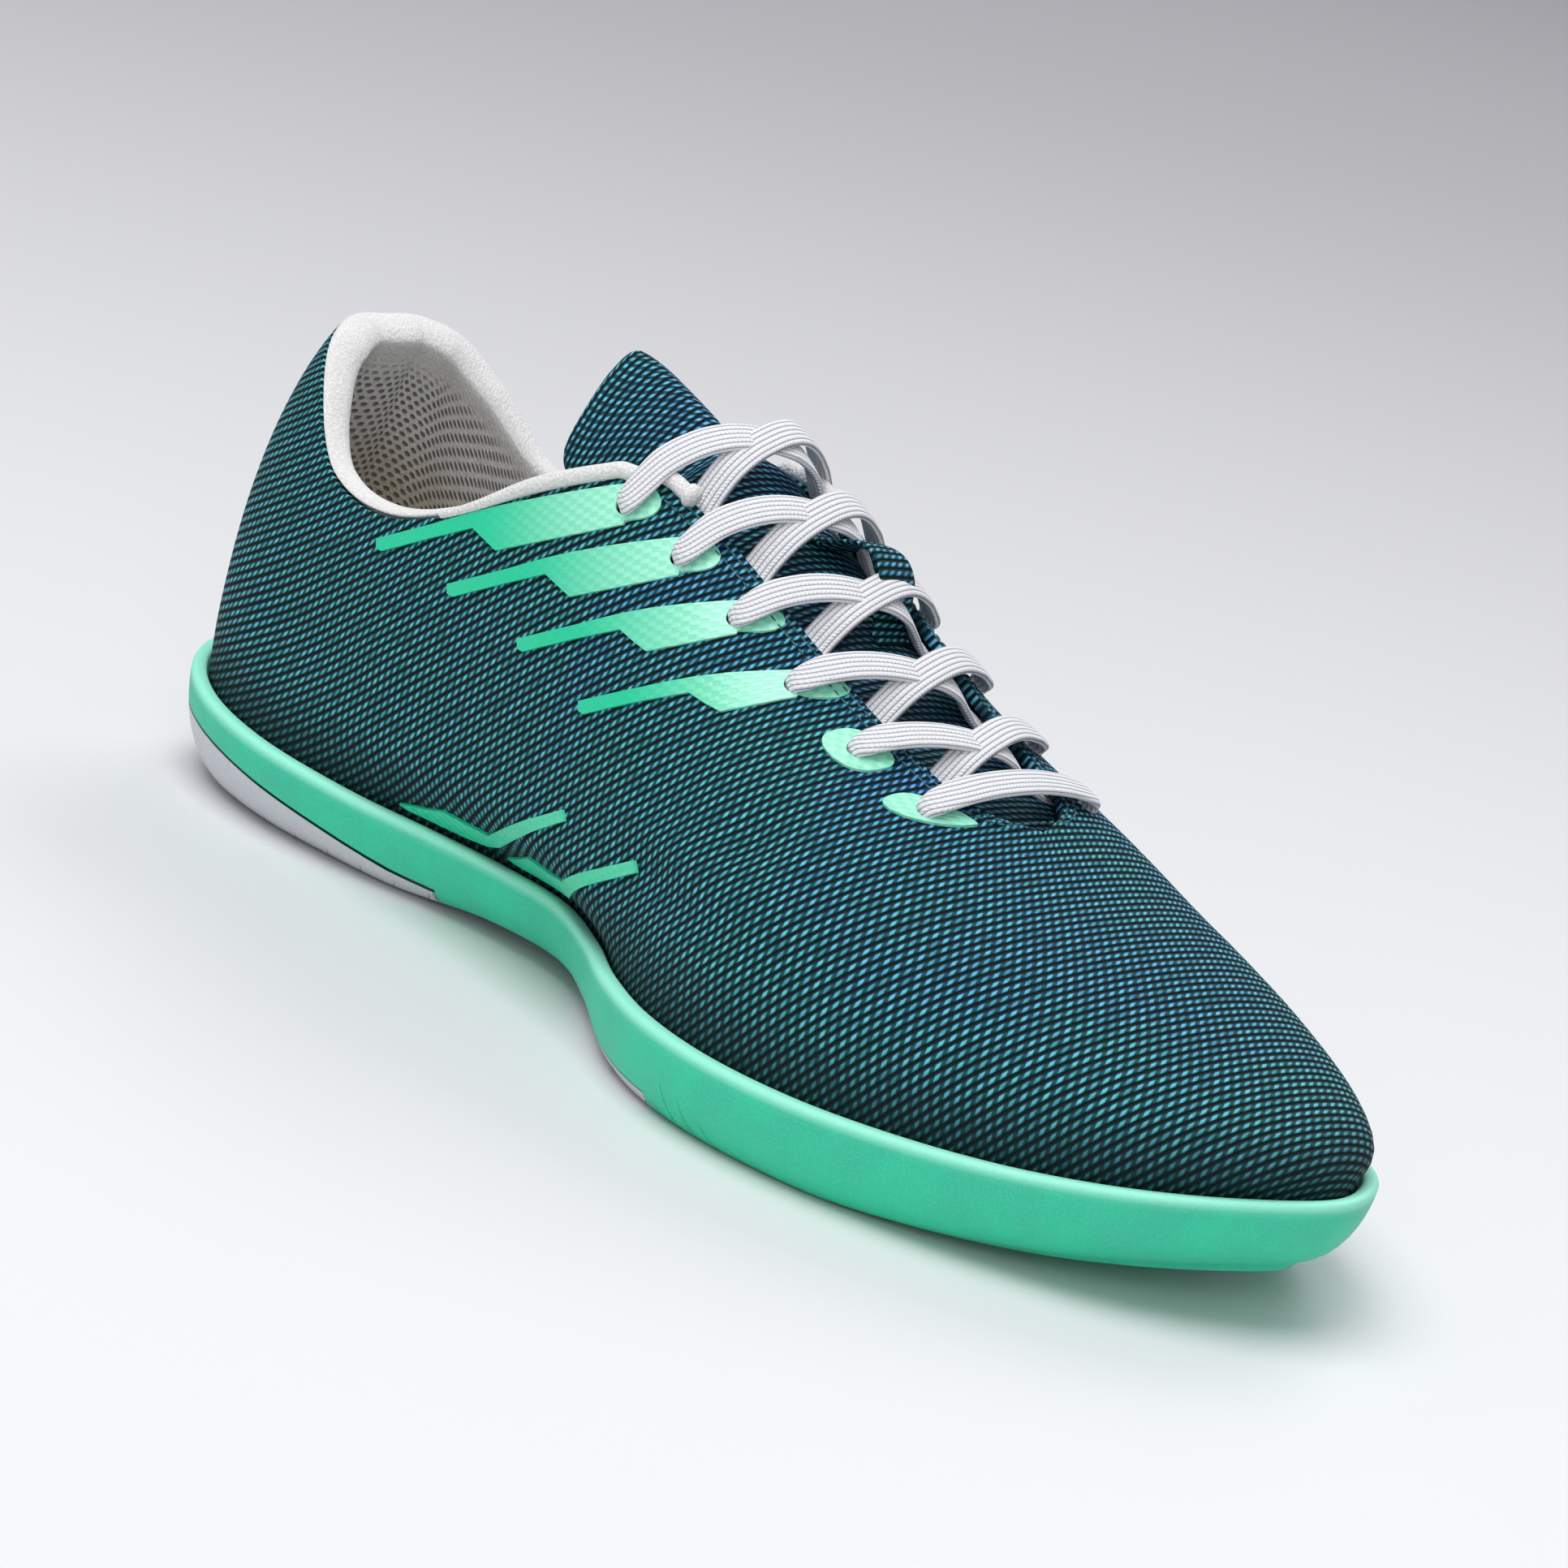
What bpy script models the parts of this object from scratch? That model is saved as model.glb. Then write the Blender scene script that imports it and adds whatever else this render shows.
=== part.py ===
"""Indoor soccer shoe for the right foot, standing on its sole.

Frame: metres, +X towards the toe, +Y towards the medial side (the big toe), +Z up.
The origin is on the floor, under the centre of the heel.
"""
import math

import bmesh
import bpy
import numpy as np
from mathutils import Vector

# Driving sizes
SHOE_LENGTH = 0.285          # heel to toe, over the sole
BALL_WIDTH = 0.105           # plan tables are shares of this width
HEEL_SEAT = 0.038            # from the back of the heel to the origin
FIT_GAP = 0.0003             # clearance between two pieces that touch

# Sole
RIM_WIDTH = 0.0030           # flat top of the cup's rim, outside the upper
RIM_TUCK = 0.0015            # how much the cup's inner wall leans in, rim to footbed
PLATE_THICKNESS = 0.0030     # pale ground plate and its two insets
GROOVE_WIDTH = 0.0024         # of a tread groove at its middle
GROOVE_DEPTH = 0.0013
SIDE_PLATE_HEIGHT = 0.0105   # how far the pale plate climbs the outer side of the heel

# Upper, lining, tongue, insole
UPPER_WALL = 0.0018
LINING_WALL = 0.0018
COLLAR_PAD = 0.0040          # extra thickness of the padded lining behind the heel
ROLL_HEIGHT = 0.0018         # how far the lining's roll stands above the upper's edge
TONGUE_WALL = 0.0030
TONGUE_REACH = 0.0060        # how far the tongue goes under each edge of the throat
TONGUE_SLACK = 0.0009        # room for the bend of the upper above the tongue
INSOLE_THICKNESS = 0.0035
THROAT_HALF_TOP = 0.0190     # half width of the throat at its top
THROAT_HALF_BASE = 0.0125    # and at its round base
EYELET_SETBACK = 0.0085      # from the throat's edge to an eyelet's centre
EYELET_RADIUS = 0.0021
FILM = 0.0004                # thickness of the green films on the upper
FILM_SEAT = 0.0006           # from the upper's curve to a film, past the facets of both
FLASH_SEAT = 0.0008          # the same near the rim, where the upper curves more

# Lace
LACE_WIDTH = 0.0062
LACE_THICKNESS = 0.0016
LACE_LIFT = 0.0012           # how far the upper lace lies over the lower one

# Places as shares of SHOE_LENGTH
HEEL_POLE = 0.150            # sections fan out from here around the heel
TOE_POLE = 0.790             # and from here around the toe
COLLAR_FRONT = 0.405         # front corner of the collar
LINING_FRONT = 0.375
THROAT_BASE = 0.712
COLLAR_BACK = 0.290          # sections behind this have no throat
TONGUE_ROOT = 0.760
EYELET_ROWS = (0.400, 0.455, 0.511, 0.568, 0.626, 0.684)

SECTION_POWER = 2.25         # of the upper's arch: 2 is an ellipse, more is boxier

# Plan outlines: share of the length, then shares of BALL_WIDTH to each side
PLAN = [
    # along, sole_lateral, sole_medial, upper_lateral, upper_medial
    (0.014, 0.150, 0.165, 0.100, 0.112),
    (0.045, 0.250, 0.262, 0.215, 0.222),
    (0.090, 0.312, 0.305, 0.278, 0.270),
    (0.160, 0.342, 0.322, 0.312, 0.298),
    (0.240, 0.318, 0.272, 0.322, 0.304),
    (0.310, 0.272, 0.182, 0.326, 0.308),
    (0.370, 0.250, 0.142, 0.334, 0.322),
    (0.430, 0.258, 0.148, 0.350, 0.342),
    (0.490, 0.332, 0.262, 0.376, 0.372),
    (0.545, 0.424, 0.405, 0.404, 0.404),
    (0.600, 0.484, 0.482, 0.450, 0.450),
    (0.660, 0.506, 0.519, 0.475, 0.487),
    (0.730, 0.486, 0.530, 0.456, 0.500),
    (0.800, 0.430, 0.510, 0.400, 0.480),
    (0.870, 0.342, 0.458, 0.313, 0.427),
    (0.930, 0.237, 0.371, 0.206, 0.337),
    (0.975, 0.092, 0.248, 0.058, 0.208),
]
SOLE_TIPS = (0.0, 0.008), (1.0, 0.085)         # heel, toe: along, medial
UPPER_TIPS = (0.0118, 0.008), (0.9870, 0.080)

# Heights above the floor, in metres
PROFILE = [
    # along, floor, rim, footbed, edge_inset, widest, ridge
    (0.00, 0.0038, 0.0228, 0.0110, 0.0100, 0.0340, 0.1120),
    (0.05, 0.0010, 0.0206, 0.0104, 0.0105, 0.0335, 0.1110),
    (0.10, 0.0000, 0.0187, 0.0098, 0.0110, 0.0325, 0.1080),
    (0.20, 0.0000, 0.0169, 0.0094, 0.0110, 0.0320, 0.1050),
    (0.28, 0.0000, 0.0159, 0.0094, 0.0095, 0.0320, 0.1080),
    (0.36, 0.0028, 0.0157, 0.0100, 0.0075, 0.0325, 0.1075),
    (0.45, 0.0036, 0.0161, 0.0100, 0.0065, 0.0310, 0.0965),
    (0.55, 0.0005, 0.0165, 0.0085, 0.0065, 0.0265, 0.0805),
    (0.61, 0.0000, 0.0164, 0.0076, 0.0070, 0.0240, 0.0718),
    (0.70, 0.0000, 0.0165, 0.0072, 0.0075, 0.0220, 0.0622),
    (0.77, 0.0002, 0.0172, 0.0074, 0.0080, 0.0222, 0.0545),
    (0.86, 0.0030, 0.0192, 0.0098, 0.0085, 0.0240, 0.0475),
    (0.93, 0.0068, 0.0222, 0.0132, 0.0090, 0.0268, 0.0428),
    (1.00, 0.0110, 0.0258, 0.0170, 0.0095, 0.0300, 0.0385),
]
FLOOR, RIM, FOOTBED, EDGE_INSET, WIDEST, RIDGE = range(1, 7)

# Height of the topline, and the ridge's shift to the medial side
TOPLINE = [(0.00, 0.0920), (0.04, 0.0890), (0.09, 0.0810), (0.15, 0.0693), (0.21, 0.0675),
           (0.27, 0.0738), (0.33, 0.0853), (0.38, 0.0930), (0.41, 0.0965), (0.50, 0.1500)]
SPINE = [(0.0, 0.0), (0.35, 0.0005), (0.65, 0.0035), (1.0, 0.0085)]

# Ground plate and insets: share of the length, share of BALL_WIDTH to the medial side
WEB_OUTLINE = [
    (0.925, 0.155), (0.916, 0.105), (0.880, 0.078), (0.758, -0.030), (0.716, -0.114),
    (0.674, -0.190), (0.640, -0.285), (0.622, -0.380), (0.612, -0.560), (0.505, -0.560),
    (0.477, -0.267), (0.455, -0.200), (0.435, -0.150), (0.410, -0.133), (0.358, -0.156),
    (0.288, -0.219), (0.235, -0.300), (0.205, -0.420), (-0.020, -0.420), (-0.020, 0.000),
    (0.012, 0.026), (0.105, 0.038), (0.168, 0.114), (0.205, 0.160), (0.226, 0.174), (0.248, 0.178),
    (0.323, 0.086), (0.379, 0.020), (0.407, 0.000), (0.438, 0.020), (0.468, 0.110),
    (0.505, 0.270), (0.520, 0.560), (0.628, 0.560), (0.646, 0.438), (0.674, 0.305),
    (0.686, 0.240), (0.700, 0.214), (0.800, 0.194), (0.900, 0.181),
]
BALL_INSET = [(0.545, -0.257), (0.534, -0.252), (0.481, -0.112), (0.482, -0.090), (0.601, 0.312),
              (0.618, 0.325), (0.634, 0.262), (0.637, 0.205)]
HEEL_INSET = [(0.331, -0.042), (0.267, 0.036), (0.250, 0.034), (0.144, -0.132), (0.155, -0.172)]


# Tread grooves: share of the length, then the inner and the outer end as shares of
# BALL_WIDTH to the medial side, and how far the outer end sweeps back, in metres
LATERAL_GROOVES = [
    (0.645, -0.340, -0.470, 0.005),
    (0.668, -0.235, -0.494, 0.008),
    (0.710, -0.160, -0.482, 0.009),
    (0.765, -0.105, -0.440, 0.008),
    (0.815, -0.045, -0.368, 0.005),
    (0.865, -0.018, -0.270, 0.003),
    (0.915, 0.020, -0.155, 0.001),
    (0.940, 0.055, -0.045, 0.001),
]
MEDIAL_GROOVES = [
    (0.655, 0.340, 0.440, 0.005),
    (0.680, 0.262, 0.505, 0.006),
    (0.740, 0.245, 0.510, 0.006),
    (0.800, 0.240, 0.490, 0.005),
    (0.860, 0.240, 0.438, 0.002),
    (0.915, 0.235, 0.350, 0.001),
    (0.938, 0.225, 0.300, 0.000),
]
GROOVE_PITCH = 0.0056

# Green films beside the four upper eyelets, in metres from the eyelet's centre: back along
# the film, then its lower and upper edge; "head" is the distance from the eyelet to the step
FILM_RISE = 0.55             # slope of the films, seen from the side
FILM_HEADS = (0.0340, 0.0270, 0.0200, 0.0150)
FILM_HEAD = [(-0.0064, -0.0014, 0.0018), (-0.0050, -0.0034, 0.0036), (0.0, -0.0042, 0.0044)]
FILM_TAIL = [(-0.0060, -0.0040, 0.0044), (0.0, 0.0012, 0.0042), (0.0100, 0.0012, 0.0034),
             (0.0245, 0.0016, 0.0026)]
FILM_RING = (0.0044, 0.0056)  # half width and half length of the rings of the lower eyelets

# Films that rise from the rim: share and height of the lower edge, then of the upper edge
LATERAL_FLASHES = [
    [(0.288, 0.0176, 0.282, 0.0182), (0.318, 0.0176, 0.306, 0.0200), (0.338, 0.0178, 0.325, 0.0218),
     (0.358, 0.0186, 0.348, 0.0218), (0.376, 0.0205, 0.370, 0.0222), (0.420, 0.0280, 0.414, 0.0298),
     (0.463, 0.0358, 0.458, 0.0374)],
    [(0.384, 0.0176, 0.376, 0.0182), (0.410, 0.0178, 0.396, 0.0206), (0.430, 0.0184, 0.413, 0.0230),
     (0.450, 0.0196, 0.441, 0.0234), (0.470, 0.0226, 0.464, 0.0246), (0.508, 0.0292, 0.502, 0.0310),
     (0.547, 0.0358, 0.541, 0.0374)],
]
FLASH_STEP = 0.078           # between the four flashes of the medial side, as a share


def smooth(rows, share, column=1):
    """Cubic curve through one column of a table, at a share of the length."""
    xs = [row[0] for row in rows]
    ys = [row[column] for row in rows]
    share = min(max(share, xs[0]), xs[-1])
    i = max(k for k in range(len(xs) - 1) if xs[k] <= share)

    def slope(k):
        low, high = max(k - 1, 0), min(k + 1, len(xs) - 1)
        return (ys[high] - ys[low]) / (xs[high] - xs[low])

    span = xs[i + 1] - xs[i]
    t = (share - xs[i]) / span
    return ((2 * t**3 - 3 * t**2 + 1) * ys[i] + (t**3 - 2 * t**2 + t) * span * slope(i)
            + (3 * t**2 - 2 * t**3) * ys[i + 1] + (t**3 - t**2) * span * slope(i + 1))


def at_share(share):
    return share * SHOE_LENGTH - HEEL_SEAT


def share_of(x):
    return (x + HEEL_SEAT) / SHOE_LENGTH


def height(column, x):
    return max(smooth(PROFILE, share_of(x), column), 0.0)


def spine_y(x):
    return smooth(SPINE, share_of(x))


class PlanCurve:
    """Closed curve through a plan table; place 0 is the heel, HALF the toe, lateral side first."""

    def __init__(self, lateral, medial, tips):
        heel, toe = tips
        rows = [heel] + [(row[0], -row[lateral]) for row in PLAN]
        rows += [toe] + [(row[0], row[medial]) for row in reversed(PLAN)]
        self.points = np.array([(at_share(s), y * BALL_WIDTH) for s, y in rows])

    def at(self, place):
        count = len(self.points)
        i = math.floor(place)
        t = place - i
        p0, p1, p2, p3 = (self.points[(i + k) % count] for k in (-1, 0, 1, 2))
        d0, d1, d2 = (np.linalg.norm(b - a) ** 0.5 for a, b in ((p0, p1), (p1, p2), (p2, p3)))
        m1 = d1 * ((p1 - p0) / d0 - (p2 - p0) / (d0 + d1) + (p2 - p1) / d1)
        m2 = d1 * ((p2 - p1) / d1 - (p3 - p1) / (d1 + d2) + (p3 - p2) / d2)
        return ((2 * t**3 - 3 * t**2 + 1) * p1 + (t**3 - 2 * t**2 + t) * m1
                + (3 * t**2 - 2 * t**3) * p2 + (t**3 - t**2) * m2)

    def inward(self, place):
        tangent = self.at(place + 0.02) - self.at(place - 0.02)
        return np.array((-tangent[1], tangent[0])) / np.linalg.norm(tangent)

    def inset(self, place, distance):
        return self.at(place) + distance * self.inward(place)


SOLE_PLAN = PlanCurve(1, 2, SOLE_TIPS)
UPPER_PLAN = PlanCurve(3, 4, UPPER_TIPS)
HALF = len(PLAN) + 1         # place of the toe
FULL = 2 * HALF


def place_of(share, side):
    """Place on the upper's plan curve at a share of the length; side is -1 lateral, 1 medial."""
    low, high = 0.0, float(HALF)
    for _ in range(40):
        middle = (low + high) / 2
        place = middle if side < 0 else FULL - middle
        if share_of(UPPER_PLAN.at(place)[0]) < share:
            low = middle
        else:
            high = middle
    return low if side < 0 else FULL - low


def throat_half(x):
    """Half width of the throat, with a round end at its base."""
    start, end = at_share(COLLAR_FRONT), at_share(THROAT_BASE)
    t = min(max((x - start) / (end - start), 0.0), 1.0)
    half = THROAT_HALF_TOP + t * (THROAT_HALF_BASE - THROAT_HALF_TOP)
    left = end - x
    if left <= 0:
        return 0.0
    if left < THROAT_HALF_BASE:
        return half * math.sqrt(1 - (1 - left / THROAT_HALF_BASE) ** 2)
    return half


def arch(place, angle):
    """Point of the upper's outer surface above its widest line; angle runs from 0 to 90 degrees."""
    wide = UPPER_PLAN.at(place)
    x_foot = at_share(min(max(share_of(wide[0]), HEEL_POLE), TOE_POLE))
    foot = np.array((x_foot, spine_y(x_foot)))
    power = 2 / SECTION_POWER
    flat = wide + (foot - wide) * (1 - max(math.cos(angle), 0.0) ** power)
    base = height(WIDEST, wide[0])
    z = base + (height(RIDGE, flat[0]) - base) * math.sin(angle) ** power
    return np.array((flat[0], flat[1], z))


def beyond_edge(place, point):
    """Positive where a point of the arch lies in the collar's or the throat's opening."""
    share = share_of(UPPER_PLAN.at(place)[0])
    over_collar = point[2] - smooth(TOPLINE, share)
    if share < COLLAR_BACK:
        return over_collar
    return max(over_collar, throat_half(point[0]) - abs(point[1] - spine_y(point[0])))


def edge_angle(place):
    """Angle at which a section of the upper stops: at the topline, the throat or the ridge."""
    top = math.pi / 2
    if beyond_edge(place, arch(place, top)) <= 1e-6:
        return top
    low, high = 0.0, top
    for _ in range(40):
        middle = (low + high) / 2
        if beyond_edge(place, arch(place, middle)) > 0:
            high = middle
        else:
            low = middle
    return low


def flare(place, t):
    """Outer surface between the cup's rim and the widest line; t runs from 0 to 1."""
    wide = UPPER_PLAN.at(place)
    foot = SOLE_PLAN.inset(place, RIM_WIDTH + FIT_GAP)
    low = height(RIM, foot[0]) + 0.0008
    high = height(WIDEST, wide[0])
    ease = math.sin(t * math.pi / 2)
    flat = foot + (wide - foot) * ease
    return np.array((flat[0], flat[1], low + (high - low) * t))


def upper_base(place):
    foot = SOLE_PLAN.inset(place, RIM_WIDTH + RIM_TUCK + FIT_GAP)
    return np.array((foot[0], foot[1], height(FOOTBED, foot[0]) + FIT_GAP))


def roof(x, y):
    """Height of the upper's outer surface over a plan point, as if the throat were closed."""
    side = -1 if y < spine_y(x) else 1
    place = place_of(share_of(x), side)
    target = abs(y - spine_y(x))
    low, high = 0.0, math.pi / 2
    for _ in range(40):
        middle = (low + high) / 2
        point = arch(place, middle)
        if abs(point[1] - spine_y(point[0])) > target:
            low = middle
        else:
            high = middle
    return arch(place, high)[2]


def roof_normal(x, y):
    step = 0.001
    slope_x = (roof(x + step, y) - roof(x - step, y)) / (2 * step)
    slope_y = (roof(x, y + step) - roof(x, y - step)) / (2 * step)
    return Vector((-slope_x, -slope_y, 1.0)).normalized()


def side_point(side, share, z):
    """Point of the upper's outer surface at a share of the length and a height."""
    place = place_of(share, side)
    base = height(WIDEST, UPPER_PLAN.at(place)[0])
    if z < base:
        low = flare(place, 0.0)[2]
        return flare(place, min(max((z - low) / (base - low), 0.0), 1.0))
    start, end = 0.0, math.pi / 2
    for _ in range(40):
        middle = (start + end) / 2
        if arch(place, middle)[2] < z:
            start = middle
        else:
            end = middle
    return arch(place, start)


def eyelet(side, share):
    """Centre and outward normal of an eyelet, at its setback from the throat's edge."""
    x = at_share(share)
    edge = throat_half(x)
    y = spine_y(x) + side * edge
    walked = 0.0
    step = 0.0002
    while walked < EYELET_SETBACK:
        ahead = y + side * step
        walked += math.hypot(step, roof(x, ahead) - roof(x, y))
        y = ahead
    return Vector((x, y, roof(x, y))), roof_normal(x, y)


def stations():
    """Places along one half of the plan, heel to toe, with extra ones at the throat's round base."""
    places = [0.0, 0.5] + list(np.linspace(1.0, HALF - 1.0, 28)) + [HALF - 0.5, HALF]
    end = at_share(THROAT_BASE)
    for back in (0.0, 0.12, 0.45, 1.0):
        place = place_of(share_of(end - back * THROAT_HALF_BASE), -1)
        places = [p for p in places if abs(p - place) > 0.16] + [place]
    corner = place_of(COLLAR_FRONT, -1)
    places = [p for p in places if abs(p - corner) > 0.2] + [corner]
    return sorted(set(places))


STATIONS = stations()
LOOP = STATIONS + [FULL - p for p in reversed(STATIONS[1:-1])]


def collection(name, hidden=False):
    made = bpy.data.collections.new(name)
    bpy.context.scene.collection.children.link(made)
    made.hide_render = hidden
    return made


def finish(name, colour, roughness, metallic=0.0):
    material = bpy.data.materials.new(name)
    material.use_nodes = True
    shader = material.node_tree.nodes["Principled BSDF"]
    shader.inputs["Base Color"].default_value = (*colour, 1.0)
    shader.inputs["Roughness"].default_value = roughness
    shader.inputs["Metallic"].default_value = metallic
    return material


def add(name, mesh, material, group):
    mesh.materials.clear()
    mesh.materials.append(material)
    mesh.shade_smooth()
    mesh.set_sharp_from_angle(angle=math.radians(35))
    thing = bpy.data.objects.new(name, mesh)
    group.objects.link(thing)
    return thing


def to_mesh(name, form, weld=0.00001):
    bmesh.ops.remove_doubles(form, verts=form.verts, dist=weld)
    bmesh.ops.dissolve_degenerate(form, dist=weld / 10, edges=form.edges)
    bmesh.ops.recalc_face_normals(form, faces=form.faces)
    mesh = bpy.data.meshes.new(name)
    form.to_mesh(mesh)
    form.free()
    return mesh


def grid(rows, closed):
    """Open surface from rows of points that all have the same count."""
    form = bmesh.new()
    lines = [[form.verts.new(p) for p in row] for row in rows]
    count = len(lines[0])
    for low, high in zip(lines, lines[1:]):
        for i in range(count if closed else count - 1):
            j = (i + 1) % count
            form.faces.new((low[i], low[j], high[j], high[i]))
    return form, lines


def ladder(form, ring, flip=False):
    """Close a ring of the loop with bars from the lateral to the medial side."""
    count = len(ring)
    half = count // 2
    faces = [(ring[0], ring[1], ring[-1])]
    faces += [(ring[i], ring[i + 1], ring[count - i - 1], ring[count - i]) for i in range(1, half - 1)]
    faces += [(ring[half - 1], ring[half], ring[half + 1])]
    for face in faces:
        form.faces.new(face[::-1] if flip else face)


def ring_solid(name, rings):
    """Solid from closed rings around the shoe, first and last closed with ladders."""
    form, lines = grid(rings, closed=True)
    ladder(form, lines[0], flip=True)
    ladder(form, lines[-1])
    return to_mesh(name, form)


def bar(name, sections):
    """Solid from a run of closed sections with capped ends."""
    form, lines = grid(sections, closed=True)
    form.faces.new(lines[0][::-1])
    form.faces.new(lines[-1])
    return to_mesh(name, form)


def boolean(thing, other, operation="DIFFERENCE"):
    cut = thing.modifiers.new(operation.lower() + " " + other.name, "BOOLEAN")
    cut.operation = operation
    cut.solver = "EXACT"
    cut.object = other


def cutter(name, mesh):
    thing = bpy.data.objects.new(name, mesh)
    CUTTERS.objects.link(thing)
    thing.display_type = "WIRE"
    thing.hide_render = True
    return thing


def side_wall(angle):
    """Ring of the sole's outer wall: 0 at the rim, 90 degrees at the ground."""
    ring = []
    for place in LOOP:
        x = SOLE_PLAN.at(place)[0]
        inset = height(EDGE_INSET, x) * (1 - math.cos(angle))
        flat = SOLE_PLAN.inset(place, inset)
        rim, floor = height(RIM, x), height(FLOOR, x)
        ring.append((flat[0], flat[1], rim - (rim - floor) * math.sin(angle)))
    return ring


def level_ring(inset, column, lift=0.0):
    ring = []
    for place in LOOP:
        flat = SOLE_PLAN.inset(place, inset)
        ring.append((flat[0], flat[1], height(column, flat[0]) + lift))
    return ring


SIDE_ANGLES = [math.radians(a) for a in (90, 74, 56, 36, 16, 0)]


def ground_ring():
    """The outline of the flat ground face."""
    ring = []
    for place in LOOP:
        x = SOLE_PLAN.at(place)[0]
        flat = SOLE_PLAN.inset(place, height(EDGE_INSET, x))
        ring.append((flat[0], flat[1], height(FLOOR, flat[0])))
    return ring


def sole_rings(inner):
    rings = [ground_ring()] + [side_wall(angle) for angle in SIDE_ANGLES[1:]]
    if inner:
        rings += [level_ring(RIM_WIDTH, RIM), level_ring(RIM_WIDTH + RIM_TUCK, FOOTBED)]
    return rings


def outset(points, distance):
    """Closed polygon moved outwards by a distance; its corners keep their mitres."""
    pts = [Vector((at_share(s), y * BALL_WIDTH)) for s, y in points]
    area = sum(a.x * b.y - b.x * a.y for a, b in zip(pts, pts[1:] + pts[:1]))
    turn = 1 if area > 0 else -1
    result = []
    for before, here, after in zip(pts[-1:] + pts[:-1], pts, pts[1:] + pts[:1]):
        n1 = Vector(((here - before).y, -(here - before).x)).normalized() * turn
        n2 = Vector(((after - here).y, -(after - here).x)).normalized() * turn
        mitre = (n1 + n2) / max(1 + n1.dot(n2), 0.25)
        result.append(here + mitre * distance)
    return result


def ground_prism(name, points, distance, top):
    """Prism from below the floor up to a height over the sole's ground face."""
    polygon = outset(points, distance)
    form = bmesh.new()
    low = [form.verts.new((p.x, p.y, -0.02)) for p in polygon]
    high = [form.verts.new((p.x, p.y, 0.02)) for p in polygon]
    form.faces.new(low[::-1])
    form.faces.new(high)
    for i in range(len(polygon)):
        j = (i + 1) % len(polygon)
        form.faces.new((low[i], low[j], high[j], high[i]))
    xs = [p.x for p in polygon]
    for share in [row[0] for row in PROFILE[1:-1]] + [0.24, 0.32, 0.405, 0.50, 0.58, 0.895]:
        if min(xs) + 0.001 < at_share(share) < max(xs) - 0.001:
            geometry = form.verts[:] + form.edges[:] + form.faces[:]
            bmesh.ops.bisect_plane(form, geom=geometry, plane_co=(at_share(share), 0, 0),
                                   plane_no=(1, 0, 0), dist=1e-6)
    for vert in form.verts:
        if vert.co.z > 0:
            vert.co.z = height(FLOOR, vert.co.x) + top
    bmesh.ops.triangulate(form, faces=form.faces)
    return to_mesh(name, form)


WING_SECTIONS = 15


def side_plate_prism(name, gap):
    """Bar along the outer side of the heel, where the pale plate climbs the wall."""
    sections = []
    for k in range(WING_SECTIONS):
        place = -0.9 + k * 0.5
        if k in (0, WING_SECTIONS - 1):
            room = 2 * gap / np.linalg.norm(SOLE_PLAN.at(place + 0.5) - SOLE_PLAN.at(place - 0.5))
            place += -room if k == 0 else room
        share = share_of(SOLE_PLAN.at(place)[0])
        fade = min(max((0.36 - share) / 0.30, 0.0), 1.0)
        floor = height(FLOOR, SOLE_PLAN.at(place)[0])
        top = floor * (1 - fade) + PLATE_THICKNESS * 0.6 + SIDE_PLATE_HEIGHT * fade + gap
        corners = [(0.008 + gap, -0.015), (-0.004, -0.015), (-0.004, top + 0.0025),
                   (0.0026 + gap, top), (0.008 + gap, floor + PLATE_THICKNESS * 0.6)]
        section = []
        for inset, z in corners:
            flat = SOLE_PLAN.inset(place, inset)
            section.append((flat[0], flat[1], z))
        sections.append(section)
    return bar(name, sections)


def web_region(name, distance, top):
    """Everything the ground plate may fill: the middle plate and its wing up the heel."""
    region = cutter(name, ground_prism(name, WEB_OUTLINE, distance, top))
    wing = cutter(name + "_wing", side_plate_prism(name + "_wing", 1.5 * distance))
    boolean(region, wing, "UNION")
    return region


def build_sole():
    cup = add("cupsole", ring_solid("cupsole", sole_rings(inner=True)), GREEN, PARTS)
    whole = ring_solid("whole_sole", sole_rings(inner=False))
    boolean(cup, web_region("web_pocket", FIT_GAP, PLATE_THICKNESS + FIT_GAP))
    boolean(cup, groove_cutter())
    web = add("ground_plate", whole, PALE, PARTS)
    boolean(web, web_region("web_form", 0.0, PLATE_THICKNESS), "INTERSECT")
    for name, outline in (("ball_inset", BALL_INSET), ("heel_inset", HEEL_INSET)):
        boolean(web, cutter(name + "_hole", ground_prism(name + "_hole", outline, FIT_GAP, 0.012)))
        inset = add(name, whole.copy(), GREEN, PARTS)
        form = cutter(name + "_form", ground_prism(name + "_form", outline, 0.0, PLATE_THICKNESS))
        boolean(inset, form, "INTERSECT")


def build_insole():
    inset = RIM_WIDTH + RIM_TUCK + UPPER_WALL + 2 * FIT_GAP + 0.0006
    rings = [level_ring(inset, FOOTBED, FIT_GAP), level_ring(inset, FOOTBED, FIT_GAP + INSOLE_THICKNESS)]
    add("insole", ring_solid("insole", rings), INSOLE, PARTS)


def upper_section(place):
    points = [upper_base(place)]
    points += [flare(place, t) for t in (0.0, 0.35, 0.7, 1.0)]
    top = edge_angle(place)
    points += [arch(place, top * t) for t in (0.2, 0.4, 0.6, 0.8, 1.0)]
    return [Vector(p) for p in points]


def skin(place, v):
    """Outer surface of the upper: v is 0 at the rim, 0.3 on the widest line, 1 on the ridge."""
    if v < 0.3:
        return Vector(flare(place, v / 0.3))
    return Vector(arch(place, (v - 0.3) / 0.7 * math.pi / 2))


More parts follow.
